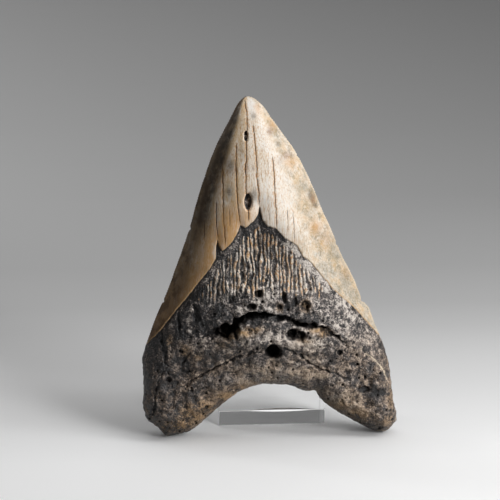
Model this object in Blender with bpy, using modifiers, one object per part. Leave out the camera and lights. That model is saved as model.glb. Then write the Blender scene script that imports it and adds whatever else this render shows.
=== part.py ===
"""Fossil megalodon tooth leaning against a clear acrylic block.

Two solids. The tooth grew as one piece: enamel crown, worn band and two-lobed root. It stands
on its two lobes, tips back and rests on the top front edge of the block, which is loose.

The tooth is shaped in its own plane, in millimetres: u runs across, v runs from the lobes to
the tip, and w is the thickness, positive on the domed (lingual) face and negative on the flat
(labial) one. The object's own matrix then stands it up, and MM turns millimetres into metres.
"""

import math

import bmesh
import bpy
import numpy as np
from mathutils import Matrix, Vector, noise

MM = 0.001

# Stand: a polished block, 1 3/4 inches wide and high
BLOCK_WIDTH = 44.45
BLOCK_HEIGHT = 44.45
BLOCK_DEPTH = 28.0
BLOCK_ROUND = 0.9            # radius of its polished edges
BLOCK_ROUND_SEGMENTS = 3
CLEARANCE = 0.3              # between the tooth and the block it leans on

# Attitude of the tooth on the stand
LEAN = math.radians(4.6)     # from upright, tipping back
BLOCK_CENTRE_U = 0.6         # where the block stands across the tooth

# Outline of the tooth in its own plane, (u, v), clockwise from the tip as the domed face is seen
TIP = [(-9.3, 137.4), (-7.9, 137.2), (-6.6, 137.2), (-5.1, 136.3)]
RIGHT_EDGE = [(-3.4, 134.4), (-2.0, 132.7), (0.0, 129.1), (4.0, 123.8), (8.7, 117.0), (12.5, 110.3),
              (17.4, 99.8), (20.7, 91.0), (23.8, 84.2), (28.2, 73.4), (32.7, 64.8), (35.3, 58.4),
              (36.9, 54.4), (39.9, 50.6), (42.4, 43.8)]
RIGHT_LOBE = [(45.2, 37.2), (47.5, 29.6), (49.2, 20.4), (50.0, 12.4), (51.6, 5.4), (50.2, 2.2),
              (47.9, -0.1), (44.8, -0.9), (40.2, 0.3), (34.6, 3.4)]
ARCH = [(26.0, 8.3), (21.4, 11.8), (18.6, 15.2), (17.0, 17.1), (14.4, 16.7), (10.8, 17.7), (6.4, 19.5),
        (-5.0, 20.0), (-12.2, 17.8), (-17.9, 14.2), (-25.4, 7.9)]
LEFT_LOBE = [(-30.0, 4.0), (-34.2, 0.9), (-39.6, -0.4), (-44.2, -0.6), (-47.2, 2.6), (-51.8, 6.6),
             (-53.2, 12.2), (-52.8, 19.6), (-53.2, 28.0), (-52.8, 33.4), (-50.4, 40.6)]
LEFT_EDGE = [(-46.9, 49.8), (-43.4, 57.4), (-40.2, 65.8), (-36.3, 76.6), (-33.4, 85.6), (-30.2, 97.0),
             (-26.6, 107.8), (-22.8, 117.4), (-17.3, 127.6), (-13.6, 134.5), (-11.2, 136.7)]
OUTLINE = TIP + RIGHT_EDGE + RIGHT_LOBE + ARCH + LEFT_LOBE + LEFT_EDGE
TIP_V = 137.4

# Foot of the enamel on the domed face, (u, v) from left to right, with its two ragged spikes
ENAMEL_FOOT = [(-54.5, 35.0), (-50.6, 38.3), (-45.0, 44.6), (-39.5, 52.0), (-34.8, 57.9), (-30.1, 63.9),
               (-25.8, 69.4), (-23.1, 73.5), (-22.6, 78.3), (-22.0, 80.6), (-21.2, 77.9), (-20.1, 76.9),
               (-18.0, 78.7), (-15.8, 81.1), (-13.7, 85.1), (-13.1, 86.9), (-11.1, 85.8), (-7.8, 88.4),
               (-6.1, 91.0), (-5.4, 94.6), (-4.2, 89.1), (-2.5, 86.6), (1.2, 85.4), (4.4, 81.7),
               (9.2, 78.8), (11.4, 74.5), (14.6, 71.8), (19.0, 66.3), (23.3, 61.2), (26.4, 58.0),
               (33.4, 51.7), (42.4, 41.3), (44.5, 39.0)]
# Foot of the enamel on the flat face: a shallow arch
BACK_FOOT_SIDE = 39.0
BACK_FOOT_RISE = 15.0
BACK_FOOT_HALF = 49.0
BACK_FOOT_CENTRE_U = -3.0
BACK_FOOT_POWER = 1.6
ENAMEL_STEP = 0.8            # the enamel stands proud of the root by this much
STEP_RUN = 0.9               # on the domed face
BACK_STEP_RUN = 2.6          # on the flat face, where it is worn smooth
STEP_FILLS_FROM = 2.0        # the root swells back to the enamel's level between these distances
STEP_FILLS_TO = 16.0

# Swell of the faces
CROWN_DOME = 0.50            # crown thickness on the domed side, as a share of its half width
CROWN_FLAT = 0.13            # the same on the flat side
CROWN_POWER = 2.4
CROWN_DOME_MAX = 17.0
ROOT_FRONT = 8.2             # root thickness from the tooth's plane to each face, at the lobes
ROOT_BACK = 6.0
ROOT_RIM = 8.5               # the root's edges are rounded over this distance
BULGE = 9.6                  # the root's central swelling on the domed face
BULGE_CENTRE = (0.5, 43.0)
BULGE_HALF_U = 33.0
BULGE_RISE = 24.0            # how far the swelling runs up towards the crown
BULGE_DROP = 17.0            # and down towards the arch
CROWN_TO_ROOT = 22.0         # the crown's section turns into the root's over this height,
CROWN_TO_ROOT_ABOVE = 0.35   # this share of it above the foot of the enamel
TIP_TAPER = 9.0              # the point thins out over this height
TIP_BLUNT = 1.0
EDGE_HALF = 0.15             # the rim where the two faces meet is this thick either side

# Cracks on the domed face: (u, v, half width, depth) along each
ARCHED_CRACK = [(-28.5, 42.2, 0.9, 1.2), (-25.2, 44.6, 2.2, 3.6), (-21.0, 44.6, 3.6, 6.6),
                (-18.2, 45.8, 3.2, 7.0), (-15.4, 48.6, 2.2, 5.4), (-12.0, 50.9, 2.0, 5.0),
                (-8.9, 53.0, 2.6, 5.4), (-6.0, 51.9, 1.6, 4.2), (-0.6, 51.5, 1.4, 3.8),
                (4.0, 50.5, 1.5, 3.8), (11.6, 47.4, 1.6, 3.6), (16.3, 46.3, 1.6, 3.4),
                (20.2, 45.4, 1.5, 3.2), (23.2, 43.6, 1.3, 2.4), (28.6, 38.8, 0.8, 0.8)]
LEFT_CRACK = [(-35.0, 23.0, 0.8, 0.8), (-26.6, 27.7, 1.0, 1.5), (-18.2, 32.6, 1.0, 1.5),
              (-9.6, 36.6, 0.8, 1.2), (-4.6, 36.6, 0.7, 0.9)]
RIGHT_CRACK = [(2.8, 38.4, 0.8, 1.0), (10.5, 33.9, 1.0, 1.6), (17.4, 28.7, 1.0, 1.5),
               (22.1, 27.0, 0.9, 1.3), (31.5, 22.8, 0.7, 0.7)]
LOBE_CRACK = [(-43.6, 27.8, 0.7, 0.6), (-47.2, 22.9, 0.9, 1.3), (-47.9, 13.8, 0.9, 1.5),
              (-51.0, 8.2, 0.8, 0.9)]
MARGIN_FURROW = [(-42.0, 46.5, 1.3, 0.9), (-41.2, 40.0, 1.8, 2.0), (-36.5, 29.5, 1.2, 0.9)]
BROW_FURROW = [(-31.0, 55.0, 1.2, 1.0), (-30.4, 50.0, 1.6, 1.8), (-28.8, 46.2, 1.3, 1.1)]
CROWN_CRACK = [(-10.3, 134.2, 0.6, 0.5), (-10.4, 113.2, 0.6, 0.6), (-10.7, 99.8, 0.6, 0.6)]
CRACKS = [ARCHED_CRACK, LEFT_CRACK, RIGHT_CRACK, LOBE_CRACK, MARGIN_FURROW, BROW_FURROW, CROWN_CRACK]
CRACK_FLOOR = 0.25           # a crack is flat over this share of its half width
CRACK_LIP = 1.25             # and meets the face at this one

# Pits on the domed face: (u, v, half width, half height, depth)
PITS = [
    (-0.8, 36.5, 3.1, 3.0, 4.0),       # the big round one over the arch
    (6.4, 44.1, 1.9, 2.0, 2.8),        # a pair close together
    (9.6, 43.4, 2.1, 1.9, 2.6),
    (-6.2, 59.8, 1.8, 1.8, 2.6),
    (3.6, 58.2, 1.1, 2.4, 1.8),
    (1.7, 54.4, 1.2, 1.3, 1.4),
    (11.9, 54.9, 2.2, 2.4, 2.2),
    (26.3, 34.8, 1.2, 1.4, 2.0),
    (-42.6, 24.1, 1.2, 1.2, 1.7),
    (-27.4, 12.3, 1.0, 0.9, 1.3),
    (36.5, 18.6, 2.9, 1.7, 1.2),       # two soft dents in the right lobe
    (43.3, 17.0, 3.0, 1.9, 1.2),
    (-36.0, 28.6, 2.4, 1.8, 0.7),
    (-9.8, 95.6, 1.7, 3.8, 2.3),       # the hole through the enamel
    (-10.2, 122.0, 0.8, 2.3, 1.0),
]
PIT_FLOOR = 0.45
PIT_LIP = 1.2

# Lumps, hollows and ledges of the root: (u, v, half width, half height, height)
LUMPS = [
    (-14.0, 43.6, 9.0, 3.6, 1.5),      # lip under the arched crack
    (8.0, 39.8, 16.0, 3.4, 1.3),       # belt between the two cracks
    (-24.0, 38.4, 9.0, 4.2, 0.9),
    (2.0, 57.4, 20.0, 4.0, 1.4),       # brow over the arched crack
    (-45.6, 9.0, 6.5, 5.5, 1.5),       # knuckle of the left lobe
    (-36.0, 12.0, 6.0, 6.0, 0.9),
    (43.6, 7.0, 5.0, 5.0, 1.4),        # knuckle of the right lobe
    (30.0, 18.0, 9.0, 5.0, 0.9),
    (-50.6, 24.0, 2.6, 14.0, 0.9),     # strip along the left margin
    (-30.0, 52.0, 6.0, 5.0, 0.7),
    (-12.0, 25.6, 14.0, 2.0, -0.5),    # laminated hollow over the arch
    (-36.5, 33.0, 4.0, 3.0, -0.9),
    (-32.0, 45.0, 4.5, 3.0, -0.9),
]

# Upright ridges of the worn band and the top of the root
RIDGE_PITCH = 3.1
RIDGE_HEIGHT = 0.42
RIDGE_WANDER = 1.1           # how far each sways, over BEND up its length
RIDGE_BEND = 7.0
RIDGE_QUIVER = 0.6
RIDGE_QUIVER_BEND = 2.9
RIDGE_TOP_GAP = 5.0          # they start this far under the enamel
RIDGE_FADE = 7.0
RIDGE_FOOT = 58.0
RIDGE_HALF_U = 30.0
RIDGE_CENTRE_U = -1.0

# Weathered unevenness of the root
ROUGH_HEIGHT = 0.95
ROUGH_SIZE = 8.0
FINE_HEIGHT = 0.5
FINE_SIZE = 3.0
WORN_FROM = 4.0              # it sets in between these distances below the enamel
WORN_TO = 14.0
RIM_FADE = 5.0               # and between the rim and here

# Mesh of the tooth
SPOKES = 480
RINGS = 150                  # pole to pole, so half of them on each face
CENTRE = (-3.0, 50.0)        # the outline is seen whole from here
OUTLINE_STEPS = 24           # points between two given points of the outline
TOOTH_TRIANGLES = 9200

TOOTH_COLOUR = (0.30, 0.25, 0.20, 1.0)
STAND_COLOUR = (0.93, 0.95, 0.96, 1.0)


def smoothstep(low, high, x):
    """0 below low, 1 above high, and a smooth rise between them."""
    t = np.clip((x - low) / (high - low), 0.0, 1.0)
    return t * t * (3.0 - 2.0 * t)


def outline_loop():
    """Closed Catmull-Rom curve through OUTLINE, as many evenly spaced points as SPOKES."""
    given = np.array(OUTLINE, dtype=float)
    steps = np.linspace(0.0, 1.0, OUTLINE_STEPS, endpoint=False)[:, None]
    pieces = []
    for index in range(len(given)):
        a, b, c, d = (given[(index + offset) % len(given)] for offset in (-1, 0, 1, 2))
        pieces.append(b + 0.5 * steps * (c - a)
                      + steps ** 2 * (a - 2.5 * b + 2.0 * c - 0.5 * d)
                      + steps ** 3 * (1.5 * b - 1.5 * c + 0.5 * d - 0.5 * a))
    fine = np.concatenate(pieces)
    closed = np.vstack([fine, fine[:1]])
    run = np.concatenate([[0.0], np.cumsum(np.linalg.norm(np.diff(closed, axis=0), axis=1))])
    even = np.linspace(0.0, run[-1], SPOKES, endpoint=False)
    return np.stack([np.interp(even, run, closed[:, axis]) for axis in (0, 1)], axis=1)


def distance_to_chain(points, chain, closed=False):
    """Distance from each point to a chain of segments, the nearest segment and where along it."""
    starts = chain if closed else chain[:-1]
    ends = np.roll(chain, -1, axis=0) if closed else chain[1:]
    best = np.full(len(points), np.inf)
    nearest = np.zeros(len(points), dtype=int)
    along = np.zeros(len(points))
    for index, (start, end) in enumerate(zip(starts, ends)):
        run = end - start
        t = np.clip((points - start) @ run / (run @ run), 0.0, 1.0)
        gap = np.linalg.norm(points - start - t[:, None] * run, axis=1)
        closer = gap < best
        best[closer] = gap[closer]
        nearest[closer] = index
        along[closer] = t[closer]
    return best, nearest, along


def side_edges(loop, v):
    """The outline's left and right edge at each height."""
    top = int(np.argmax(loop[:, 1]))
    order = np.roll(loop, -top, axis=0)
    right = order[:SPOKES // 3]
    left = order[::-1][:SPOKES // 3]
    right_u = np.interp(-v, -np.minimum.accumulate(right[:, 1]), right[:, 0])
    left_u = np.interp(-v, -np.minimum.accumulate(left[:, 1]), left[:, 0])
    return left_u, right_u


def cracks_depth(points):
    """How deep the cracks cut at each point."""
    depth = np.zeros(len(points))
    for crack in CRACKS:
        data = np.array(crack)
        gap, segment, along = distance_to_chain(points, data[:, :2])
        half = data[segment, 2] * (1.0 - along) + data[segment + 1, 2] * along
        deep = data[segment, 3] * (1.0 - along) + data[segment + 1, 3] * along
        depth = np.maximum(depth, deep * (1.0 - smoothstep(CRACK_FLOOR, CRACK_LIP, gap / half)))
    return depth


def pits_depth(points):
    """How deep the pits cut at each point."""
    depth = np.zeros(len(points))
    for u, v, half_u, half_v, deep in PITS:
        reach = np.hypot((points[:, 0] - u) / half_u, (points[:, 1] - v) / half_v)
        depth = np.maximum(depth, deep * (1.0 - smoothstep(PIT_FLOOR, PIT_LIP, reach)))
    return depth


def lumps_height(points):
    """Height of the lumps and hollows at each point."""
    height = np.zeros(len(points))
    for u, v, half_u, half_v, rise in LUMPS:
        reach = ((points[:, 0] - u) / half_u) ** 2 + ((points[:, 1] - v) / half_v) ** 2
        height += rise * np.exp(-reach)
    return height


def weathering(points, side):
    """Noise in the root's surface, different on its two faces."""
    def layer(size, seed):
        return np.array([noise.noise(Vector((u / size, v / size, seed))) for u, v in points])
    return ROUGH_HEIGHT * layer(ROUGH_SIZE, 3.7 * side) + FINE_HEIGHT * layer(FINE_SIZE, 8.3 * side)


def ridges_height(points, under_enamel):
    """Upright wavy ridges under the enamel, fading out down the root and to the sides."""
    u, v = points[:, 0], points[:, 1]
    wander = (RIDGE_WANDER * np.sin(v / RIDGE_BEND + 0.35 * u)
              + RIDGE_QUIVER * np.sin(v / RIDGE_QUIVER_BEND - 0.2 * u))
    wave = np.cos(2.0 * math.pi * (u + wander) / RIDGE_PITCH)
    shown = (smoothstep(RIDGE_TOP_GAP, RIDGE_TOP_GAP + RIDGE_FADE / 3.0, under_enamel)
             * smoothstep(RIDGE_FOOT - RIDGE_FADE / 2.0, RIDGE_FOOT + RIDGE_FADE, v)
             * (1.0 - smoothstep(RIDGE_HALF_U - RIDGE_FADE, RIDGE_HALF_U, np.abs(u - RIDGE_CENTRE_U))))
    return RIDGE_HEIGHT * wave * shown


def crown_faces(u, v, left, right):
    """Thickness of the bare crown to its domed and its flat face: a lens between its edges."""
    half = np.maximum(0.5 * (right - left), 0.5)
    across = np.clip(np.abs(u - 0.5 * (right + left)) / half, 0.0, 1.0)
    lens = 1.0 - across ** CROWN_POWER
    tip_taper = smoothstep(-TIP_BLUNT, TIP_TAPER, TIP_V - v)
    dome = np.minimum(CROWN_DOME * half, CROWN_DOME_MAX)
    return dome * lens * tip_taper, CROWN_FLAT * half * lens * tip_taper


def root_faces(u, v, rim_gap):
    """Thickness of the bare root to its domed and its flat face, round at the rim."""
    inside = np.clip(rim_gap / ROOT_RIM, 0.0, 1.0)
    rim = np.sqrt(1.0 - (1.0 - inside) ** 2)
    above = v > BULGE_CENTRE[1]
    fall = np.where(above, (v - BULGE_CENTRE[1]) / BULGE_RISE, (BULGE_CENTRE[1] - v) / BULGE_DROP)
    bulge = BULGE * np.exp(-fall ** 2 - ((u - BULGE_CENTRE[0]) / BULGE_HALF_U) ** 2)
    return (ROOT_FRONT + bulge) * rim, ROOT_BACK * rim


def face_heights(points, side, loop):
    """Height of the tooth's face at each point, measured from its plane towards side."""
    u, v = points[:, 0], points[:, 1]
    rim_gap, _, _ = distance_to_chain(points, loop, closed=True)
    left, right = side_edges(loop, v)
    if side > 0:
        foot = np.interp(u, *np.array(ENAMEL_FOOT).T)
    else:
        out = np.abs(u - BACK_FOOT_CENTRE_U) / BACK_FOOT_HALF
        foot = BACK_FOOT_SIDE + BACK_FOOT_RISE * (1.0 - out ** BACK_FOOT_POWER)
    below = foot - v
    crown = crown_faces(u, v, left, right)[0 if side > 0 else 1]
    root = root_faces(u, v, rim_gap)[0 if side > 0 else 1]
    turn = CROWN_TO_ROOT_ABOVE * CROWN_TO_ROOT
    rootness = smoothstep(-turn, CROWN_TO_ROOT - turn, below)
    height = crown * (1.0 - rootness) + root * rootness
    away_from_rim = smoothstep(0.0, RIM_FADE, rim_gap)
    run = STEP_RUN if side > 0 else BACK_STEP_RUN
    bare = smoothstep(-0.5 * run, 0.5 * run, below)
    height -= ENAMEL_STEP * bare * (1.0 - smoothstep(STEP_FILLS_FROM, STEP_FILLS_TO, below)) * away_from_rim
    height += weathering(points, side) * smoothstep(WORN_FROM, WORN_TO, below) * away_from_rim
    if side > 0:
        height += lumps_height(points) * away_from_rim
        height += ridges_height(points, below)
        height -= np.maximum(cracks_depth(points), pits_depth(points)) * away_from_rim
    return np.maximum(height, EDGE_HALF)


def tooth_bmesh():
    """A UV sphere whose equator becomes the outline and whose two halves become the faces."""
    shape = bmesh.new()
    bmesh.ops.create_uvsphere(shape, u_segments=SPOKES, v_segments=RINGS, radius=1.0)
    ball = np.array([vertex.co for vertex in shape.verts])
    turn = np.arctan2(ball[:, 1], ball[:, 0]) / (2.0 * math.pi)
    spoke = np.rint(-turn * SPOKES).astype(int) % SPOKES
    reach = np.clip(np.arccos(np.clip(np.abs(ball[:, 2]), 0.0, 1.0)) / (0.5 * math.pi), 0.0, 1.0)
    loop = outline_loop()
    centre = np.array(CENTRE)
    points = centre + reach[:, None] * (loop[spoke] - centre)
    height = np.zeros(len(points))
    equator = np.abs(ball[:, 2]) < 1e-4
    for side in (1.0, -1.0):
        face = (ball[:, 2] * side > 0.0) & ~equator
        height[face] = side * face_heights(points[face], side, loop)
    for vertex, (u, v), w in zip(shape.verts, points, height):
        vertex.co = Vector((u, v, w)) * MM
    return shape


def material(name, colour, roughness, transmission=0.0, ior=1.5):
    """A Principled material with the piece's colour."""
    made = bpy.data.materials.new(name)
    made.use_nodes = True
    shader = made.node_tree.nodes["Principled BSDF"]
    shader.inputs["Base Color"].default_value = colour
    shader.inputs["Roughness"].default_value = roughness
    shader.inputs["Transmission Weight"].default_value = transmission
    shader.inputs["IOR"].default_value = ior
    shader.inputs["Metallic"].default_value = 0.0
    return made


def add_object(name, shape, collection, finish):
    """Turn a bmesh into a named object in the collection."""
    mesh = bpy.data.meshes.new(name)
    shape.to_mesh(mesh)
    shape.free()
    mesh.materials.append(finish)
    made = bpy.data.objects.new(name, mesh)
    collection.objects.link(made)
    return made


def build_tooth(collection):
    """The tooth, standing on its lobes on z = 0 and leaning back by LEAN."""
    tooth = add_object("tooth", tooth_bmesh(), collection, material("tooth", TOOTH_COLOUR, 0.6))
    thin = tooth.modifiers.new("facets", "DECIMATE")
    thin.decimate_type = "COLLAPSE"
    thin.ratio = TOOTH_TRIANGLES / sum(len(face.vertices) - 2 for face in tooth.data.polygons)
    # The tooth's plane is its local XY, so standing it up is a turn about X
    tooth.rotation_euler = (0.5 * math.pi - LEAN, 0.0, 0.0)
    tooth.data.shade_smooth()
    return tooth


def world_points(thing):
    """The evaluated mesh's points in world space."""
    bpy.context.view_layer.update()
    evaluated = thing.evaluated_get(bpy.context.evaluated_depsgraph_get())
    mesh = evaluated.to_mesh()
    points = np.array([evaluated.matrix_world @ vertex.co for vertex in mesh.vertices])
    evaluated.to_mesh_clear()
    return points


def back_at(points, low, high):
    """How far back the tooth reaches over the block's width and between two heights."""
    over = np.abs(points[:, 0] - BLOCK_CENTRE_U * MM) < (0.5 * BLOCK_WIDTH + BLOCK_ROUND) * MM
    over &= (points[:, 2] > low) & (points[:, 2] < high)
    return points[over, 1].max()


def build_stand(collection, front):
    """The acrylic block, its front face at front and its underside on z = 0."""
    size = Vector((BLOCK_WIDTH, BLOCK_DEPTH, BLOCK_HEIGHT)) * MM
    bpy.ops.mesh.primitive_cube_add(size=1.0)
    stand = bpy.context.active_object
    stand.data.transform(Matrix.Diagonal((*size, 1.0)))
    stand.name = "stand"
    stand.data.name = "stand"
    for holder in stand.users_collection:
        holder.objects.unlink(stand)
    collection.objects.link(stand)
    stand.location = (BLOCK_CENTRE_U * MM, front + 0.5 * size.y, 0.5 * size.z)
    stand.data.materials.append(material("clear acrylic", STAND_COLOUR, 0.03, 1.0, 1.49))
    eased = stand.modifiers.new("polished edges", "BEVEL")
    eased.width = BLOCK_ROUND * MM
    eased.segments = BLOCK_ROUND_SEGMENTS
    return stand


def centre_on_origin(things):
    """Move everything so the middle of the whole footprint is the origin."""
    cloud = np.vstack([world_points(thing) for thing in things])
    middle = 0.5 * (cloud.min(axis=0) + cloud.max(axis=0))
    for thing in things:
        thing.location.x -= middle[0]
        thing.location.y -= middle[1]


def main():
    for thing in list(bpy.data.objects):
        bpy.data.objects.remove(thing, do_unlink=True)
    collection = bpy.data.collections.new("megalodon tooth on stand")
    bpy.context.scene.collection.children.link(collection)
    tooth = build_tooth(collection)
    lowest = world_points(tooth)[:, 2].min()
    tooth.location.z -= lowest
    points = world_points(tooth)
    front = back_at(points, 0.0, (BLOCK_HEIGHT + BLOCK_ROUND) * MM) + CLEARANCE * MM
    stand = build_stand(collection, front)
    centre_on_origin([tooth, stand])


main()
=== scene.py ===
"""Finish of the megalodon tooth and of the clear block that it leans on.

The tooth is meshed afresh from its solid's own named sizes, fine enough to hold the serrations, the
enamel's cracks and the root's crust. As in its solid, u runs across, v from the lobes to the tip,
and w through the thickness, positive on the domed face, all in millimetres.
"""

import math

import bpy
import numpy as np
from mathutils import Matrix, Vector, geometry, kdtree, noise


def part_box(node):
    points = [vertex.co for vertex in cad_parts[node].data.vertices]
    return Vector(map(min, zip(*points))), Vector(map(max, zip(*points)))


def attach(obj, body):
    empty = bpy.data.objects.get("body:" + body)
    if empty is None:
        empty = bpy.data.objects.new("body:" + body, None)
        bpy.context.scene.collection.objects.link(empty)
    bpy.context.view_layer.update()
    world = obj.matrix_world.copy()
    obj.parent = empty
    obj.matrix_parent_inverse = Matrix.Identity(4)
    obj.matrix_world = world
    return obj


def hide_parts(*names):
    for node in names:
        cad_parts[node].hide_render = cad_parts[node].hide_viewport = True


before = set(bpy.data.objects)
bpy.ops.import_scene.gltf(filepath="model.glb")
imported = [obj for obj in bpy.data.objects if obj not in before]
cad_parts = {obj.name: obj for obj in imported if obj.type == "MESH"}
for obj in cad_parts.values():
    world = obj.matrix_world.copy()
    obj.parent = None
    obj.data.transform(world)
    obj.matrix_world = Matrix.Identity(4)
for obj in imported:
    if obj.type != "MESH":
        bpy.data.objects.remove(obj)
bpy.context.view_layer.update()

MM = 0.001
SEED = 20261
SEED_SHIFT = 31.7            # added to a warp's seed for its second axis

# ---- Sizes, most of them shared with the solids ----

BLOCK_ROUND = 0.9            # radius of the solid's edges
BLOCK_EDGE = 0.4             # and of the finer ones here, along the block and at its ends
BLOCK_END_EDGE = 0.1
BLOCK_EDGE_STEPS = 3
BLOCK_STATIONS = 48
# The polished bevel of the block's lower back edge, widest near its middle
BEVEL_LEAST = 0.25
BEVEL_MORE = 1.25
BEVEL_CENTRE = 5.0
BEVEL_HALF = 13.5
BEVEL_TURN = math.radians(58.5)
SHARP_FROM = math.radians(35.0)
CLEARANCE = 0.3              # between the tooth and the block it leans on
LEAN = math.radians(4.6)
BLOCK_CENTRE_U = 0.6         # where the block stands across the tooth

TIP = [(-9.6, 137.4), (-8.5, 137.1), (-7.4, 136.7), (-6.1, 135.9)]
RIGHT_EDGE = [
    (-4.5, 134.5), (-2.5, 132.2), (-0.4, 129), (3.5, 123.7), (8.3, 117), (12.1, 110.3), (17.1, 99.8),
    (20.6, 91), (23.8, 84.2), (28.2, 73.4), (32.7, 64.8), (35.3, 58.4), (36.9, 54.4), (39.9, 50.6),
    (42.4, 43.8)]
RIGHT_LOBE = [
    (45.2, 37.2), (47.5, 29.6), (49.2, 20.4), (50, 12.4), (51.6, 5.4), (50.2, 2.2), (47.9, -0.1),
    (44.8, -0.9), (40.2, 0.3), (34.6, 3.4)]
ARCH = [
    (26, 8.3), (21.4, 11.8), (18.6, 15.2), (17, 17.1), (14.4, 16.7), (10.8, 17.7), (6.4, 19.5), (-5, 20),
    (-12.2, 17.8), (-17.9, 14.2), (-25.4, 7.9)]
LEFT_LOBE = [
    (-30, 4), (-34.2, 0.9), (-39.6, -0.4), (-44.2, -0.6), (-47.2, 2.6), (-51.8, 6.6), (-53.2, 12.2),
    (-52.8, 19.6), (-53.2, 28), (-52.8, 33.4), (-50.4, 40.6)]
LEFT_EDGE = [
    (-46.9, 49.8), (-43.4, 57.4), (-40.2, 65.8), (-36.2, 76.6), (-33.1, 85.6), (-29.9, 97), (-26.3, 107.8),
    (-22.6, 117.4), (-17.2, 127.6), (-13.6, 134.5), (-11.3, 136.8)]
OUTLINE = TIP + RIGHT_EDGE + RIGHT_LOBE + ARCH + LEFT_LOBE + LEFT_EDGE
TIP_V = 137.4

# Foot of the enamel on the domed face, with its two ragged spikes
ENAMEL_FOOT = [
    (-54.5, 35), (-50.6, 38.3), (-45, 44.6), (-39.5, 52), (-34.8, 57.9), (-30.1, 63.9), (-25.9, 69.4),
    (-23.4, 73.5), (-23.1, 78.3), (-22.5, 80.9), (-21.8, 78.1), (-20.6, 76.7), (-18.4, 78.5), (-16.2, 81.1),
    (-14.1, 85.1), (-13.5, 86.9), (-11.5, 85.8), (-8.2, 88.4), (-6.5, 91), (-5.8, 94.4), (-4.7, 89.1),
    (-3, 86.6), (0.8, 85.4), (4, 81.7), (8.9, 78.8), (11.2, 74.5), (14.6, 71.8), (19, 66.3), (23.3, 61.2),
    (26.4, 58), (33.4, 51.7), (42.4, 41.3), (44.5, 39)]
FOOT_STEP = 0.06
FOOT_RAGGED = [(0.32, 2.4, 4.1), (0.22, 0.8, 9.7)]     # layers of noise: height, size and seed
# Foot of the enamel on the flat face: a shallow arch
BACK_FOOT_SIDE = 39.0
BACK_FOOT_RISE = 15.0
BACK_FOOT_HALF = 49.0
BACK_FOOT_CENTRE_U = -3.0
BACK_FOOT_POWER = 1.6
BACK_FOOT_RAGGED = [(0.5, 3.1, 5.5)]
ENAMEL_STEP = 0.8            # the enamel stands proud of the root by this much
FRONT_STEP_RUN = 0.13
BACK_STEP_RUN = 0.5
STEP_LESS = 0.65             # the step is this share lower on the front's right side,
STEP_LESS_ACROSS = (-0.1, 0.35)     # sinking between these places across
STEP_FILLS = (2.0, 16.0)     # the root swells back to the enamel's level between these distances

# Swell of the faces
CROWN_DOME = 0.50            # crown thickness on the domed side, as a share of its half width
CROWN_FLAT = 0.13            # the same on the flat side
CROWN_POWER = 2.4
CROWN_DOME_MAX = 17.0
TIP_TAPER = 9.0              # the point thins out over this height
TIP_POWER = 0.7
TIP_BLUNT = 0.3
ROOT_FRONT = 8.2             # root thickness from the tooth's plane to each face, at the lobes
ROOT_BACK = 6.0
ROOT_RIM = 8.5               # the root's edges are rounded over this distance
BULGE = 9.6                  # the root's central swelling on the domed face
BULGE_CENTRE = (0.5, 43.0)
BULGE_HALF_U = 33.0
BULGE_RISE = 24.0            # how far the swelling runs up towards the crown
BULGE_DROP = 17.0            # and down towards the arch
CROWN_TO_ROOT = 22.0         # the crown's section turns into the root's over this height,
CROWN_TO_ROOT_ABOVE = 0.35   # this share of it above the foot of the enamel
EDGE_HALF = 0.15             # the rim where the two faces meet is this thick either side
RIM_FADE = 5.0               # coarse relief sets in between the rim and here
FINE_RIM_FADE = 1.2          # and fine relief between the rim and here
FAR = 99.0                   # a distance past every other

# ---- Cracks, pits and lumps of the domed face ----

# Root cracks: (u, v, half width, depth) along each
ARCHED_CRACK = [
    (-28.5, 42.2, 0.8, 1), (-25.2, 44.4, 1.5, 2.6), (-21, 44.6, 2.8, 5.8), (-18.2, 45.6, 3.1, 7),
    (-15.4, 48.4, 2, 5.4), (-12, 50.6, 1.3, 4.2), (-8.9, 51.8, 1.5, 4.4), (-6, 51.9, 1.2, 4),
    (-0.6, 51.3, 0.9, 3.4), (4, 50.1, 1, 3.6), (7.1, 48.4, 1.4, 4), (11.6, 47.1, 1.3, 3.6),
    (16.3, 46.4, 1.2, 3.4), (20.2, 45.2, 1.2, 3.2), (23.2, 43.3, 1, 2.4), (26, 40.9, 0.8, 1.6),
    (28.6, 38.3, 0.5, 0.7)]
LEFT_CRACK = [
    (-40, 19.5, 0.3, 0.3), (-35, 23, 0.4, 0.6), (-29.7, 25.9, 0.6, 1), (-26.6, 27.7, 0.7, 1.4),
    (-22.8, 30.1, 0.6, 1.4), (-18.2, 32.6, 0.6, 1.4), (-13.7, 35, 0.6, 1.3), (-9.6, 36.6, 0.5, 1),
    (-4.6, 36.6, 0.4, 0.8)]
RIGHT_CRACK = [
    (2.8, 38.4, 0.4, 0.8), (7.7, 36.2, 0.6, 1.3), (10.5, 33.9, 0.7, 1.5), (14.2, 31.3, 0.6, 1.4),
    (17.4, 28.7, 0.5, 1.2), (22.1, 27, 0.6, 1.2), (26.4, 25.2, 0.5, 0.9), (31.5, 22.8, 0.4, 0.5)]
LOBE_CRACK = [
    (-43.6, 27.8, 0.3, 0.4), (-45.4, 26.4, 0.4, 0.7), (-47.2, 22.9, 0.5, 1), (-47.6, 19.4, 0.5, 1.1),
    (-47.9, 13.8, 0.5, 1.2), (-48.8, 10.4, 0.6, 1.2), (-51, 8.2, 0.5, 0.8)]
MARGIN_FURROW = [
    (-45.2, 44.5, 0.7, 0.5), (-44.6, 40, 1.1, 1.2), (-44.2, 35, 1, 1.1), (-43.8, 30.5, 0.7, 0.5)]
INNER_FURROW = [(-33.6, 36.6, 0.7, 0.6), (-36, 33, 1.2, 1.3), (-37.4, 29.6, 0.9, 0.8)]
BROW_FURROW = [(-31.6, 54.5, 0.7, 0.8), (-30.6, 50.4, 1.3, 1.5), (-29.4, 47, 0.9, 0.9)]
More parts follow.
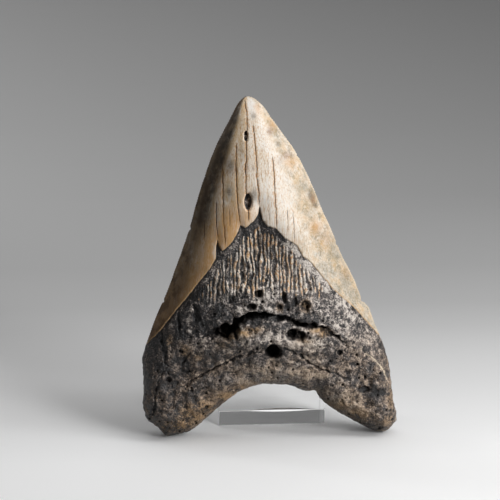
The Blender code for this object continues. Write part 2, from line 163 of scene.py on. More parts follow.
UPPER_FURROW = [(-38.4, 51.5, 0.6, 0.7), (-37.6, 47.4, 1.1, 1.3), (-37.8, 43, 0.7, 0.7)]
UPPER_LAMINA = [(-21.4, 26.6, 0.2, 0.25), (-16, 27.8, 0.3, 0.4), (-9, 27.7, 0.3, 0.45), (-3, 27, 0.2, 0.25)]
LOWER_LAMINA = [(-17, 24.8, 0.2, 0.2), (-9, 25.6, 0.25, 0.35), (0, 25.2, 0.25, 0.35), (8, 24.6, 0.2, 0.2)]
ROOT_CRACKS = [ARCHED_CRACK, LEFT_CRACK, RIGHT_CRACK, LOBE_CRACK, MARGIN_FURROW, INNER_FURROW, BROW_FURROW,
               UPPER_FURROW, UPPER_LAMINA, LOWER_LAMINA]
CRACK_WARPS = [(0.9, 2.6, 1.3), (0.45, 0.9, 6.1)]      # reach, size and seed of each warp
CRACK_GAPE = (0.9, 0.45, 1.4, (0.8, 2.4, 14.2))        # mean, least, most and a layer of noise
GAPE_IN_DEPTH = (0.6, 1.0)   # the depth follows the gape between these
UPPER_LIP = (0.35, 0.95)     # where the lips start and end, in shares of the crack's half width
LOWER_LIP = (0.25, 1.45)

# Hairline cracks of the enamel, (u, v) from the top down, and how dark each is
ENAMEL_CRACKS = [
    ([(-10.8, 136.6), (-10.7, 133), (-10.2, 131.2), (-10.1, 125.5), (-10.6, 119.8), (-10.7, 116.7),
      (-10.8, 113.2), (-11.2, 109.2), (-11.1, 104.5), (-11.1, 99.8), (-10.2, 95.7), (-10.2, 92.2),
      (-10.3, 88.6)], 1),
    ([(-8, 126.4), (-7.5, 123.8), (-7.2, 116.8), (-6.7, 111), (-6.7, 105.3), (-6.1, 99.6),
      (-5.9, 94.7)], 1),
    ([(-14.5, 119.1), (-14.9, 109.4), (-14.7, 102.3), (-14.5, 95.7), (-13.6, 87.4)], 0.9),
    ([(-20, 110.3), (-20.1, 99.7), (-20.1, 92.1), (-19.7, 84.9), (-19.4, 79)], 0.75),
    ([(-22.8, 96), (-22.8, 87.4), (-22.3, 81.2)], 1),
    ([(-0.3, 113.8), (0, 110.3), (0.2, 101.8), (0.6, 94.6), (0.9, 85.8)], 0.8),
    ([(-2.5, 99.6), (-2.4, 95), (-1.8, 87.5)], 0.25),
    ([(5.3, 93.5), (5.3, 83)], 0.45),
    ([(7.6, 92.4), (7.9, 80.2)], 0.45),
    ([(-17.6, 94), (-17.6, 84.9)], 0.3),
    ([(-2.1, 114.7), (-2.3, 106.8)], 0.25),
    ([(-27.5, 88.7), (-27.6, 80.6)], 0.4),
]
ENAMEL_CRACK_HALF = 0.2
ENAMEL_CRACK_DEPTH = 0.15
ENAMEL_CRACK_STEP = 0.3
ENAMEL_CRACK_KINKS = [(0.2, 1.7, 2.6), (0.12, 0.6, 19.4)]
ENAMEL_CRACK_GAPE = (0.95, 0.45, 1.25, (0.9, 1.3, 27.1, 3.0))
ENAMEL_CRACK_ENDS = (-0.6, 2.4)     # a crack fades in between these distances from its ends
STAIN_LEAST = 0.3                   # a faint crack's stain reaches at least this share as far

# Holes right through the enamel: (u, v, half width, half height, depth)
ENAMEL_HOLES = [(-10.3, 96, 1.75, 3.8, 2.5), (-10.8, 121.7, 0.9, 2.3, 1.3)]
HOLE_POWER = 1.9             # a circle has 2, and less draws its ends to points
HOLE_FLOOR = 0.72

# Pits of the root: (u, v, half width, half height, depth)
PITS = [
    (-0.9, 36.8, 3.6, 3.5, 4.4), (6.6, 43.5, 2.8, 2.6, 3.8), (9.9, 43, 2.5, 2.2, 3.2),
    (-6.5, 59.6, 2, 1.8, 2.8), (-9.5, 54.7, 2.3, 1.6, 3), (-19.6, 45.2, 3, 3.2, 6.4), (3.6, 58.2, 1, 2.4, 2),
    (1.7, 54.4, 1.2, 1.3, 1.4), (11.9, 54.9, 2.2, 2.4, 2), (11, 55.4, 0.6, 0.6, 3.2),
    (12.8, 54.2, 0.6, 0.7, 3.2), (7.4, 56, 1.5, 2, 1), (-5.1, 56.8, 0.7, 0.7, 1.2), (-0.5, 59.3, 0.6, 0.6, 1),
    (26.3, 34.8, 1.2, 1.4, 2.2), (-42.6, 24.1, 1.2, 1.2, 1.8), (-27.4, 12.3, 1, 0.9, 1.4),
    (-25.6, 15, 0.6, 0.6, 1), (36.5, 18.6, 2.9, 1.7, 1.2), (43.3, 17, 3, 1.9, 1.2),
    (47.4, 15.8, 0.7, 0.8, 1.2), (48.1, 9.4, 0.7, 0.7, 1.2), (48.8, 5.3, 0.7, 0.8, 1.2),
    (14.3, 60.8, 0.8, 0.8, 1), (-36, 28.6, 2.4, 1.8, 0.7), (-13, 71, 1.9, 3.4, 0.5)]
PIT_WARP = (0.3, 1.4, 2.9)
PIT_WALL = (0.5, 1.1)

# Lumps, hollows and ledges of the root: (u, v, half width, half height, height)
LUMPS = [
    (-14, 43.6, 9, 3.6, 1.5), (8, 39.8, 16, 3.4, 1.3), (-24, 38.4, 9, 4.2, 0.9), (2, 57.4, 20, 4, 1.4),
    (-45.6, 9, 6.5, 5.5, 1.5), (-36, 12, 6, 6, 0.9), (43.6, 7, 5, 5, 1.4), (30, 18, 9, 5, 0.9),
    (-50.6, 24, 2.6, 14, 0.9), (-30, 52, 6, 5, 0.7), (-12, 25.6, 14, 2, -0.5), (-36.5, 33, 4, 3, -0.9),
    (-32, 45, 4.5, 3, -0.9), (9, 50.2, 3.4, 1.2, 1.2), (-10, 47, 9, 1.4, 0.8), (17, 43.6, 5, 1.5, 0.9),
    (2, 33.4, 6, 1.2, 0.6), (-3, 46, 7, 2.4, 0.5)]

# Upright ridges of the worn band and the top of the root
RIDGE_PITCH = 1.6
RIDGE_HEIGHT = 0.5
RIDGE_MEAN = 0.4             # this high between groove and crest, the ridges leave the surface alone
RIDGE_POWER = 1.15
RIDGE_WANDER = [(0.9, 6.0, 1.9, 2.2), (0.8, 2.1, 5.3, 2.4), (0.4, 0.8, 35.1, 1.7)]     # with stretch
RIDGE_SPREAD = 0.05          # how much the outer ridges lean apart
RIDGE_SPREAD_V = 70.0        # from this height
RIDGE_SPREAD_U = (4.0, 24.0)
RIDGE_BREAKS = (0.85, 0.2, 1.2, (0.9, 1.3, 8.8, 2.6))
# The ridges set in below the enamel, and fade out at their foot and towards the sides
RIDGE_TOP = (1.8, 3.8)
RIDGE_TOP_RAGGED = [(1.0, 2.0, 3.4)]
RIDGE_FOOT = 58.0
RIDGE_FOOT_FADE = (-3.5, 4.5)
RIDGE_FOOT_RAGGED = [(2.2, 5.0, 7.2)]
RIDGE_FOOT_MIDDLE = (-2.0, 8.0)     # the foot is level this far either side of this u
RIDGE_FOOT_SLOPE = 0.1              # and slopes down further out
RIDGE_SIDES = (26.0, 42.0)
RIDGE_CENTRE_U = -0.5

# Weathered unevenness of the root and its crust, layers of noise both
WEATHER = [(0.95, 8.0, 3.7), (0.95, 3.0, 8.3)]
CRUST = [(0.34, 1.6, 11.0), (0.12, 0.7, 17.0)]
CRUST_START = (0.3, 6.0)     # the crust sets in between these distances below the enamel
CRUST_ON_RIDGES = 0.35       # its share left on the ridges
STREAK_HEIGHT = 0.05         # faint streaks of the enamel
STREAK_WIDTH = 0.9
STREAK_LENGTH = 14.0
STREAK_SEED = 23.0
STREAK_START = (0.5, 3.0)    # they set in between these distances from the rim
WORN = (4.0, 14.0)           # weather and pores set in between these distances below the enamel

# Relief that the colours follow: the points' own, and the same spread over their neighbours
RELIEF_FINE = 2.0
RELIEF_WIDE = 4.5
RELIEF_SPREADS = 6
TINY = 1e-7

PORES = 420
PORE_U = (-53.0, 52.0)
PORE_V = (0.0, 62.0)
PORE_RADIUS = (0.3, 0.75)
PORE_SHARE = (0.6, 1.0)      # a radius is cut to a share drawn between these
PORE_SQUASH = (0.7, 1.4)
PORE_DEPTH = 0.95            # as a share of the radius
PORE_WALL = (0.4, 1.3)
PORE_REACH = 2.0             # no pore is felt further than this

# ---- Fine mesh ----

CURVE_STEP = 0.05
SPAN_POINTS = 64             # points of the curve between two of the outline's own
TANGENT_SPAN = 6             # the rim's direction is read this many points ahead and behind
SERRATION_PITCH = 1.05
SERRATION_HEIGHT = 0.32
SERRATION_REACH = 0.5
SERRATION_POWER = 0.8        # under 1 for broad teeth
SERRATION_MEAN = 0.6         # this much of each tooth's height lies within the outline
SERRATION_WEAR = (0.75, 0.15, 1.1, (0.7, 5.0, 2.2))
# Chips of the edge: (u, v, half width, depth)
CHIPS = [
    (-33.2, 84.4, 1.2, 0.45), (20.4, 93.4, 0.9, 0.5), (26.2, 77.6, 1.2, 0.5), (37.2, 54.4, 1.2, 0.6),
    (-27.6, 105.6, 0.8, 0.4), (10.6, 113.6, 0.9, 0.35), (-44.6, 55, 1, 0.45)]
CHIP_FLOOR = 0.2
ROOT_RIM_NOISE = 0.3
ROOT_RIM_RAGGED = [(1.0, 2.6, 7.7), (0.6, 0.9, 3.1)]
CROWN_RIM_NOISE = 0.12
CROWN_RIM_LUMPS = (3.0, 6.6)
CROWN_RIM_STEP = 0.26
ROOT_RIM_STEP = 0.40
RIM_DEPTH = 1.0
RIM_ROWS = 7
CROWN_STEP = 0.62
ROOT_STEP = 0.34
BACK_STEP = 0.76
LINE_STEP = 0.34
LINE_ROOM = 0.30             # points of the grid keep this far off the lines
FINE_ROOM = 0.22
RIM_ROOM = 0.12
FOOT_PAIR = 0.14             # two lines follow the foot of the enamel, this far either side of it
FOOT_MARGIN = 0.6            # the fine grid reaches this far up over it


def smoothstep(low, high, x):
    """0 below low, 1 above high, and a smooth rise between them."""
    t = np.clip((x - low) / (high - low), 0.0, 1.0)
    return t * t * (3.0 - 2.0 * t)


def falloff(low, high, x):
    """1 below low, 0 above high, and a smooth fall between them."""
    return 1.0 - smoothstep(low, high, x)


def noise_at(points, size, seed, stretch_v=1.0):
    """Smooth noise in -1 to 1 at 2-D points, its lumps about size across and stretched along v."""
    return np.array([noise.noise(Vector((u / size, v / (size * stretch_v), seed))) for u, v in points])


def layered(points, layers):
    """Sum of layers of noise, each with its height, size, seed and perhaps stretch."""
    return sum(height * noise_at(points, *rest) for height, *rest in layers)


def uneven(points, mean, least, most, layer):
    """A value that wavers about mean with one layer of noise, kept between least and most."""
    return np.clip(mean + layered(points, [layer]), least, most)


def reach_of(points, u, v, half_u, half_v):
    """Distance from a spot's centre as a share of its half width and half height."""
    return np.hypot((points[:, 0] - u) / half_u, (points[:, 1] - v) / half_v)


def soft_spot(points, u, v, half_u, half_v, most):
    """A soft round bump, most at its centre."""
    return most * np.exp(-reach_of(points, u, v, half_u, half_v) ** 2)


def resample(chain, step, closed=False):
    """Points along a chain, evenly spaced and about step apart."""
    chain = np.asarray(chain, dtype=float)
    if closed:
        chain = np.vstack([chain, chain[:1]])
    run = np.concatenate([[0.0], np.cumsum(np.linalg.norm(np.diff(chain, axis=0), axis=1))])
    count = max(2, int(round(run[-1] / step)) + 1)
    even = np.linspace(0.0, run[-1], count)
    if closed:
        even = even[:-1]
    return np.stack([np.interp(even, run, chain[:, axis]) for axis in (0, 1)], axis=1)


def outline_curve():
    """Closed Catmull-Rom curve through OUTLINE, with a point every CURVE_STEP."""
    given = np.array(OUTLINE, dtype=float)
    steps = np.linspace(0.0, 1.0, SPAN_POINTS, endpoint=False)[:, None]
    pieces = []
    for index in range(len(given)):
        a, b, c, d = (given[(index + offset) % len(given)] for offset in (-1, 0, 1, 2))
        pieces.append(b + 0.5 * steps * (c - a)
                      + steps ** 2 * (a - 2.5 * b + 2.0 * c - 0.5 * d)
                      + steps ** 3 * (1.5 * b - 1.5 * c + 0.5 * d - 0.5 * a))
    return resample(np.concatenate(pieces), CURVE_STEP, closed=True)


def nearest_distance(points, samples):
    """Distance from each point to the nearest of a dense row of samples."""
    tree = kdtree.KDTree(len(samples))
    for index, (u, v) in enumerate(samples):
        tree.insert((u, v, 0.0), index)
    tree.balance()
    return np.array([tree.find((u, v, 0.0))[2] for u, v in points])


def distance_to_chain(points, chain):
    """Distance from each point to a chain, the nearest segment, how far along it, and the side."""
    best = np.full(len(points), np.inf)
    nearest = np.zeros(len(points), dtype=int)
    along = np.zeros(len(points))
    side = np.zeros(len(points))
    for index, (start, end) in enumerate(zip(chain[:-1], chain[1:])):
        run = end - start
        t = np.clip((points - start) @ run / (run @ run), 0.0, 1.0)
        off = points - start - t[:, None] * run
        gap = np.linalg.norm(off, axis=1)
        closer = gap < best
        best[closer] = gap[closer]
        nearest[closer] = index
        along[closer] = t[closer]
        side[closer] = np.sign(run[0] * off[:, 1] - run[1] * off[:, 0])[closer]
    return best, nearest, along, side


def inside(points, loop):
    """Whether each point is inside a closed loop."""
    within = np.zeros(len(points), dtype=bool)
    for (u1, v1), (u2, v2) in zip(loop, np.roll(loop, -1, axis=0)):
        if v1 == v2:
            continue
        spans = (points[:, 1] < v1) != (points[:, 1] < v2)
        crossing = u1 + (points[:, 1] - v1) * (u2 - u1) / (v2 - v1)
        within ^= spans & (points[:, 0] < crossing)
    return within


# ---- Form of the tooth ----

class Form:
    """The tooth's outline and the foot of its enamel, which every height and mask is read from."""

    def __init__(self):
        self.curve = outline_curve()
        top = int(np.argmax(self.curve[:, 1]))
        order = np.roll(self.curve, -top, axis=0)
        share = len(order) // 3
        self.right = order[:share]
        self.left = order[::-1][:share]
        self.foot = self.front_foot()

    def front_foot(self):
        """The ragged foot of the enamel, a dense row of points whose u always grows."""
        line = resample(ENAMEL_FOOT, FOOT_STEP)
        line[:, 1] += layered(line, FOOT_RAGGED)
        return line

    def edges_at(self, v):
        """The outline's left and right edge at each height."""
        return [np.interp(-v, -np.minimum.accumulate(edge[:, 1]), edge[:, 0])
                for edge in (self.left, self.right)]

    def across(self, points):
        """Place across the crown, -1 at its left edge and 1 at its right one, and half its width."""
        left, right = self.edges_at(points[:, 1])
        half = np.maximum(0.5 * (right - left), 0.5)
        return np.clip((points[:, 0] - 0.5 * (right + left)) / half, -1.0, 1.0), half

    def below_enamel(self, points, side):
        """Distance below the foot of the enamel, negative on the enamel itself."""
        if side > 0:
            foot = np.interp(points[:, 0], self.foot[:, 0], self.foot[:, 1])
            gap = nearest_distance(points, self.foot)
            return np.where(points[:, 1] > foot, -gap, gap)
        share = np.abs(points[:, 0] - BACK_FOOT_CENTRE_U) / BACK_FOOT_HALF
        foot = BACK_FOOT_SIDE + BACK_FOOT_RISE * (1.0 - share ** BACK_FOOT_POWER)
        return foot + layered(points * (1.0, 0.0), BACK_FOOT_RAGGED) - points[:, 1]


def warp(points, reach, size, seed):
    """Points shifted by noise, so that what is measured from them has uneven edges."""
    shift = np.stack([noise_at(points, size, seed + more) for more in (0.0, SEED_SHIFT)], axis=1)
    return points + reach * shift


def root_cracks(points):
    """Depth of the root's cracks, steep at the upper lip and easy at the lower one."""
    depth = np.zeros(len(points))
    rough = points
    for settings in CRACK_WARPS:
        rough = warp(rough, *settings)
    gape = uneven(points, *CRACK_GAPE)
    for crack in ROOT_CRACKS:
        data = np.array(crack)
        gap, segment, along, side = distance_to_chain(rough, data[:, :2])
        share = along[:, None]
        half, deep = (data[segment, 2:] * (1.0 - share) + data[segment + 1, 2:] * share).T
        reach = gap / (half * gape)
        wall = np.where(side > 0.0, falloff(*UPPER_LIP, reach), falloff(*LOWER_LIP, reach))
        depth = np.maximum(depth, deep * np.clip(gape, *GAPE_IN_DEPTH) * wall)
    return depth


def pits(points):
    """Depth of the root's pits."""
    depth = np.zeros(len(points))
    rough = warp(points, *PIT_WARP)
    for u, v, half_u, half_v, deep in PITS:
        reach = reach_of(rough, u, v, half_u, half_v)
        depth = np.maximum(depth, deep * falloff(*PIT_WALL, reach))
    return depth


def pores(points, side):
    """Depth of the many small pores of the root, scattered by a seeded draw."""
    draw = np.random.default_rng(SEED + int(side))
    depth = np.zeros(len(points))
    for _ in range(PORES):
        u = draw.uniform(*PORE_U)
        v = draw.uniform(*PORE_V)
        radius = draw.uniform(*PORE_RADIUS) * draw.uniform(*PORE_SHARE)
        squash = draw.uniform(*PORE_SQUASH)
        near = np.abs(points[:, 0] - u) < PORE_REACH
        near &= np.abs(points[:, 1] - v) < PORE_REACH
        reach = reach_of(points[near], u, v, radius, radius * squash)
        depth[near] = np.maximum(depth[near], radius * PORE_DEPTH * falloff(*PORE_WALL, reach))
    return depth


def lumps(points):
    """Height of the lumps and hollows."""
    height = np.zeros(len(points))
    for lump in LUMPS:
        height += soft_spot(points, *lump)
    return height


def ridge_zone(points, below):
    """Where the upright ridges show, 0 to 1."""
    u, v = points[:, 0], points[:, 1]
    middle, level = RIDGE_FOOT_MIDDLE
    foot = RIDGE_FOOT - RIDGE_FOOT_SLOPE * np.clip(np.abs(u - middle) - level, 0.0, None)
    foot += layered(points, RIDGE_FOOT_RAGGED)
    return (smoothstep(*RIDGE_TOP, below + layered(points, RIDGE_TOP_RAGGED))
            * smoothstep(foot + RIDGE_FOOT_FADE[0], foot + RIDGE_FOOT_FADE[1], v)
            * falloff(*RIDGE_SIDES, np.abs(u - RIDGE_CENTRE_U)))


def ridge_crests(points):
    """0 in the grooves and 1 on the crests of the upright ridges, which waver, fork and break."""
    u, v = points[:, 0], points[:, 1]
    wander = (layered(points, RIDGE_WANDER)
              + RIDGE_SPREAD * (v - RIDGE_SPREAD_V) * np.sign(u) * smoothstep(*RIDGE_SPREAD_U, np.abs(u)))
    phase = (u + wander) / RIDGE_PITCH
    crest = 1.0 - np.abs(2.0 * (phase - np.floor(phase)) - 1.0)
    return np.clip(crest ** RIDGE_POWER * uneven(points, *RIDGE_BREAKS), 0.0, 1.0)


def crack_path(chain):
    """A crack of the enamel as a dense row of points with many small kinks."""
    path = resample(chain, ENAMEL_CRACK_STEP)
    path[:, 0] += layered(path, ENAMEL_CRACK_KINKS)
    return path


def enamel_cracks(points):
    """How far each point is into an enamel crack, 0 to 1, and how near it is to one in millimetres."""
    into = np.zeros(len(points))
    near = np.full(len(points), FAR)
    open_here = uneven(points, *ENAMEL_CRACK_GAPE)
    for chain, dark in ENAMEL_CRACKS:
        path = crack_path(chain)
        gap = nearest_distance(points, resample(path, CURVE_STEP))
        to_end = np.min([np.linalg.norm(points - end, axis=1) for end in (path[0], path[-1])], axis=0)
        fade = dark * smoothstep(*ENAMEL_CRACK_ENDS, to_end)
        within = np.clip(1.0 - gap / ENAMEL_CRACK_HALF, 0.0, 1.0)
        into = np.maximum(into, np.clip(fade * open_here, 0.0, 1.0) * within)
        near = np.minimum(near, gap / np.clip(fade, STAIN_LEAST, 1.0))
    return into, near


def enamel_holes(points):
    """Depth of the holes through the enamel and how far each point is into one, 0 to 1."""
    depth = np.zeros(len(points))
    into = np.zeros(len(points))
    for u, v, half_u, half_v, deep in ENAMEL_HOLES:
        across = np.abs(points[:, 0] - u) / half_u
        along = np.abs(points[:, 1] - v) / half_v
        reach = (across ** HOLE_POWER + along ** HOLE_POWER) ** (1.0 / HOLE_POWER)
        within = falloff(HOLE_FLOOR, 1.0, reach)
        depth = np.maximum(depth, deep * within)
        into = np.maximum(into, within)
    return depth, into


def crown_height(form, points, side):
    """Thickness of the bare crown: a lens between its edges."""
    across, half = form.across(points)
    lens = 1.0 - np.abs(across) ** CROWN_POWER
    tip_taper = np.clip((TIP_V + TIP_BLUNT - points[:, 1]) / TIP_TAPER, 0.0, 1.0) ** TIP_POWER
    share = np.minimum(CROWN_DOME * half, CROWN_DOME_MAX) if side > 0 else CROWN_FLAT * half
    return share * lens * tip_taper


def root_height(points, gap, side):
    """Thickness of the bare root, round at the rim."""
    inward = np.clip(gap / ROOT_RIM, 0.0, 1.0)
    rim = np.sqrt(1.0 - (1.0 - inward) ** 2)
    if side < 0:
        return ROOT_BACK * rim
    u, v = points[:, 0], points[:, 1]
    above = v > BULGE_CENTRE[1]
    fall = np.where(above, (v - BULGE_CENTRE[1]) / BULGE_RISE, (BULGE_CENTRE[1] - v) / BULGE_DROP)
    bulge = BULGE * np.exp(-fall ** 2 - ((u - BULGE_CENTRE[0]) / BULGE_HALF_U) ** 2)
    return (ROOT_FRONT + bulge) * rim


def face(form, points, gap, side):
    """Heights of one face at the points, gap from the rim, and the masks its finish is read from."""
    below = form.below_enamel(points, side)
    rootness = smoothstep(-CROWN_TO_ROOT_ABOVE * CROWN_TO_ROOT,
                          (1.0 - CROWN_TO_ROOT_ABOVE) * CROWN_TO_ROOT, below)
    height = crown_height(form, points, side) * (1.0 - rootness) + root_height(points, gap, side) * rootness
    off_rim = smoothstep(0.0, RIM_FADE, gap)
    near_rim = smoothstep(0.0, FINE_RIM_FADE, gap)
    across, _ = form.across(points)
    run = FRONT_STEP_RUN if side > 0 else BACK_STEP_RUN
    bare = smoothstep(-run, run, below)
    less = STEP_LESS if side > 0 else 0.0
    step = ENAMEL_STEP * (1.0 - less * smoothstep(*STEP_LESS_ACROSS, across))
    height -= step * bare * falloff(*STEP_FILLS, below) * off_rim
    worn = smoothstep(*WORN, below)
    weather = layered(points, [(rise, size, seed * side) for rise, size, seed in WEATHER])
    height += weather * worn * off_rim
    zone, crest, crack, hollow, hole = np.zeros((5, len(points)))
    near = np.full(len(points), FAR)
    pore = pores(points, side) * bare * worn
    if side > 0:
        height += lumps(points) * off_rim
        zone = ridge_zone(points, below)
        crest = ridge_crests(points)
        height += RIDGE_HEIGHT * (crest - RIDGE_MEAN) * zone
        on_enamel = below < 0.5
        crack[on_enamel], near[on_enamel] = enamel_cracks(points[on_enamel])
        crack *= 1.0 - bare
        height -= ENAMEL_CRACK_DEPTH * crack * near_rim
        hole_depth, hole = enamel_holes(points)
        height -= hole_depth
        hollow = np.maximum(root_cracks(points), pits(points)) * bare
        height -= hollow * off_rim
    height -= pore * near_rim
    masks = {"below": below, "bare": bare, "gap": gap, "across": across, "zone": zone, "crest": crest,
             "crack": crack, "near": near, "hollow": hollow, "hole": hole, "pore": pore}
    return np.maximum(height, EDGE_HALF), masks


# ---- Mesh of the tooth ----

def to_the_left(along):
    """Unit vectors to the left of each direction."""
    along = along / np.linalg.norm(along, axis=1)[:, None]
    return np.stack([-along[:, 1], along[:, 0]], axis=1)


def rim_points(form):
    """Places along the outline for the rim's points, their outward normals and how far out each is."""
    curve = form.curve
    ahead = np.roll(curve, -TANGENT_SPAN, axis=0)
    behind = np.roll(curve, TANGENT_SPAN, axis=0)
    normal = to_the_left(ahead - behind)
    below = form.below_enamel(curve, 1.0)
    on_crown = falloff(-1.0, 1.0, below)
    spacing = ROOT_RIM_STEP + (CROWN_RIM_STEP - ROOT_RIM_STEP) * on_crown
    density = np.cumsum(CURVE_STEP / spacing)
    count = int(density[-1])
    picks = np.searchsorted(density, (np.arange(count) + 0.5) * density[-1] / count)
    arc = np.arange(len(curve)) * CURVE_STEP
    teeth = 0.5 - 0.5 * np.cos(2.0 * math.pi * arc / SERRATION_PITCH)
    wear = uneven(curve, *SERRATION_WEAR)
    out = on_crown * wear * SERRATION_HEIGHT * (teeth ** SERRATION_POWER - SERRATION_MEAN)
    out += (1.0 - on_crown) * ROOT_RIM_NOISE * layered(curve, ROOT_RIM_RAGGED)
    out += on_crown * CROWN_RIM_NOISE * noise_at(curve, *CROWN_RIM_LUMPS)
    for u, v, half, deep in CHIPS:
        out -= deep * falloff(CHIP_FLOOR, 1.0, reach_of(curve, u, v, half, half))
    return curve[picks], normal[picks], out[picks]


def rim_rings(form):
    """Rings of points from the rim inwards, close together where the rim curves most."""
    base, normal, out = rim_points(form)
    widest = math.acos(1.0 - RIM_DEPTH / ROOT_RIM)
    rings = []
    for row in range(RIM_ROWS + 1):
        inward = ROOT_RIM * (1.0 - math.cos(widest * row / RIM_ROWS))
        shift = out * math.exp(-inward / SERRATION_REACH) - inward
        rings.append((base + normal * shift[:, None], inward))
    return rings


def hex_grid(step):
    """Points of a triangular grid over the whole tooth."""
    low = np.min(OUTLINE, axis=0)
    high = np.max(OUTLINE, axis=0)
    rows = np.arange(low[1], high[1], step * math.sqrt(0.75))
    columns = np.arange(low[0], high[0], step)
    grid = [np.stack([columns + 0.5 * step * (index % 2), np.full(len(columns), v)], axis=1)
            for index, v in enumerate(rows)]
    return np.concatenate(grid)


def offset_line(line, amount):
    """The line moved sideways by amount."""
    return line + amount * to_the_left(np.gradient(line, axis=0))


def front_lines(form):
    """Rows of points that the front's mesh has to follow: the enamel's foot, its cracks and its holes."""
    foot = resample(form.foot, LINE_STEP)
    lines = [offset_line(foot, FOOT_PAIR), offset_line(foot, -FOOT_PAIR)]
    for chain, _ in ENAMEL_CRACKS:
        middle = crack_path(chain)
        lines += [offset_line(middle, -ENAMEL_CRACK_HALF), middle, offset_line(middle, ENAMEL_CRACK_HALF)]
    for u, v, half_u, half_v, _ in ENAMEL_HOLES:
        turn = np.linspace(0.0, 2.0 * math.pi, int(2.0 * math.pi * half_v / LINE_STEP))
        circle = np.stack([np.cos(turn), np.sin(turn)], axis=1)
        loop = np.sign(circle) * np.abs(circle) ** (2.0 / HOLE_POWER)
        for share in (1.0, HOLE_FLOOR):
            lines.append((u, v) + share * loop * (half_u, half_v))
    return lines


def lay_face(ring, lines, grid):
    """Triangles over one face inside its ring. The ring's points come first, then the others."""
    verts = [Vector(point) for row in (ring, *lines, grid) for point in row]
    edges = []
    start = len(ring)
    for line in lines:
        edges += [(start + index, start + index + 1) for index in range(len(line) - 1)]
        start += len(line)
    outer = list(range(len(ring)))[::-1]
    out_verts, _, out_faces, origins, _, _ = geometry.delaunay_2d_cdt(verts, edges, [outer], 1, 1e-5, True)
    number = np.full(len(out_verts), -1)
    extra = []
    for index, origin in enumerate(origins):
        ringed = [o for o in origin if o < len(ring)]
        if ringed:
            number[index] = ringed[0]
        else:
            number[index] = len(ring) + len(extra)
            extra.append(tuple(out_verts[index]))
    spots = np.array([tuple(v) for v in out_verts])
    corners = np.array(out_faces)
    within = inside(spots[corners].mean(axis=1), ring)
    return np.array(extra), number[corners[within]].tolist()


def clear_of(points, rows, room):
    """The points at least room away from every row."""
    return points[nearest_distance(points, np.concatenate(rows)) > room]


def grid_points(form, side, inner, lines):
    """Points inside a face's innermost ring: close on the root's front, wider on the enamel and the back."""
    if side < 0:
        grids = [(hex_grid(BACK_STEP), LINE_ROOM)]
    else:
        fine, coarse = hex_grid(ROOT_STEP), hex_grid(CROWN_STEP)
        grids = [(fine[form.below_enamel(fine, 1.0) > -FOOT_MARGIN], FINE_ROOM),
                 (coarse[form.below_enamel(coarse, 1.0) <= -FOOT_MARGIN], LINE_ROOM)]
    return np.concatenate([clear_of(grid[inside(grid, inner)], [inner, *lines], room)
                           for grid, room in grids])


def tooth_mesh(form):
    """The pillow of the two faces and the strips of the rim between them, with the masks at each point."""
    rings = rim_rings(form)
    inner, _ = rings[-1]
    count = len(inner)
    spots = []
    heights = []
    masks = []
    faces = []

    def lay(points, gap, side):
        """Add a face's points, or with side 0 the rim's own."""
        height, found = face(form, points, gap, side or 1.0)
        spots.append(points)
        heights.append(side * height)
        masks.append(found)

    def ring_number(side, row):
        """Number of a ring's first point, row 0 being the rim itself."""
        return 0 if row == 0 else count * (row + (RIM_ROWS if side < 0 else 0))

    lay(rings[0][0], np.zeros(count), 0.0)
    for side in (1.0, -1.0):
        for points, inward in rings[1:]:
            lay(points, np.full(count, inward), side)
    here = np.arange(count)
    after = np.roll(here, -1)
    for side in (1.0, -1.0):
        for row in range(RIM_ROWS):
            low, high = ring_number(side, row), ring_number(side, row + 1)
            strip = np.stack([low + here, high + here, high + after, low + after], axis=1)
            faces += [tuple(corners if side > 0 else corners[::-1]) for corners in strip]
    for side in (1.0, -1.0):
        lines = [line[inside(line, inner) & (nearest_distance(line, inner) > RIM_ROOM)]
                 for line in (front_lines(form) if side > 0 else [])]
        extra, triangles = lay_face(inner, lines, grid_points(form, side, inner, lines))
        first = ring_number(side, RIM_ROWS)
        added = sum(len(part) for part in spots) - count
        for triangle in triangles:
            corners = [first + n if n < count else added + n for n in triangle]
            faces.append(tuple(corners if side > 0 else corners[::-1]))
        lay(extra, nearest_distance(extra, form.curve), side)
    cloud = np.column_stack([np.concatenate(spots), np.concatenate(heights)])
    merged = {key: np.concatenate([found[key] for found in masks]) for key in masks[0]}
    return cloud, faces, merged


def add_object(name, data):
    """A new object in the scene."""
    made = bpy.data.objects.new(name, data)
    bpy.context.scene.collection.objects.link(made)
    return made


def build_object(name, cloud, faces, unit=MM):
    """A smooth mesh object from points, in millimetres if no other unit is given."""
    mesh = bpy.data.meshes.new(name)
    mesh.from_pydata((cloud * unit).tolist(), [], faces)
    mesh.validate()
    mesh.update()
    mesh.shade_smooth()
    return add_object(name, mesh)


def read_vectors(items, field):
    """A collection's vectors as an array."""
    values = np.zeros(len(items) * 3, dtype=np.float32)
    items.foreach_get(field, values)
    return values.reshape(-1, 3).astype(float)


def roughen(piece, masks):
    """Push the root's crust and grain, and the enamel's faint streaks, out along the surface's normals."""
    mesh = piece.data
    cloud = read_vectors(mesh.vertices, "co") / MM
    normals = read_vectors(mesh.vertex_normals, "vector")
    rough = smoothstep(*CRUST_START, masks["below"]) * (1.0 - (1.0 - CRUST_ON_RIDGES) * masks["zone"])
    lift = np.zeros(len(cloud))
    for height, size, seed in CRUST:
        lift += height * np.array([noise.noise(Vector(spot)) for spot in cloud / size + (0.0, 0.0, seed)])
    lift *= rough
    streak = np.array([noise.noise(Vector((u / STREAK_WIDTH, v / STREAK_LENGTH, STREAK_SEED)))
                       for u, v, _ in cloud])
    lift += STREAK_HEIGHT * streak * (1.0 - masks["bare"]) * smoothstep(*STREAK_START, masks["gap"])
    cloud += normals * lift[:, None]
    mesh.vertices.foreach_set("co", (cloud * MM).astype(np.float32).ravel())
    mesh.update()


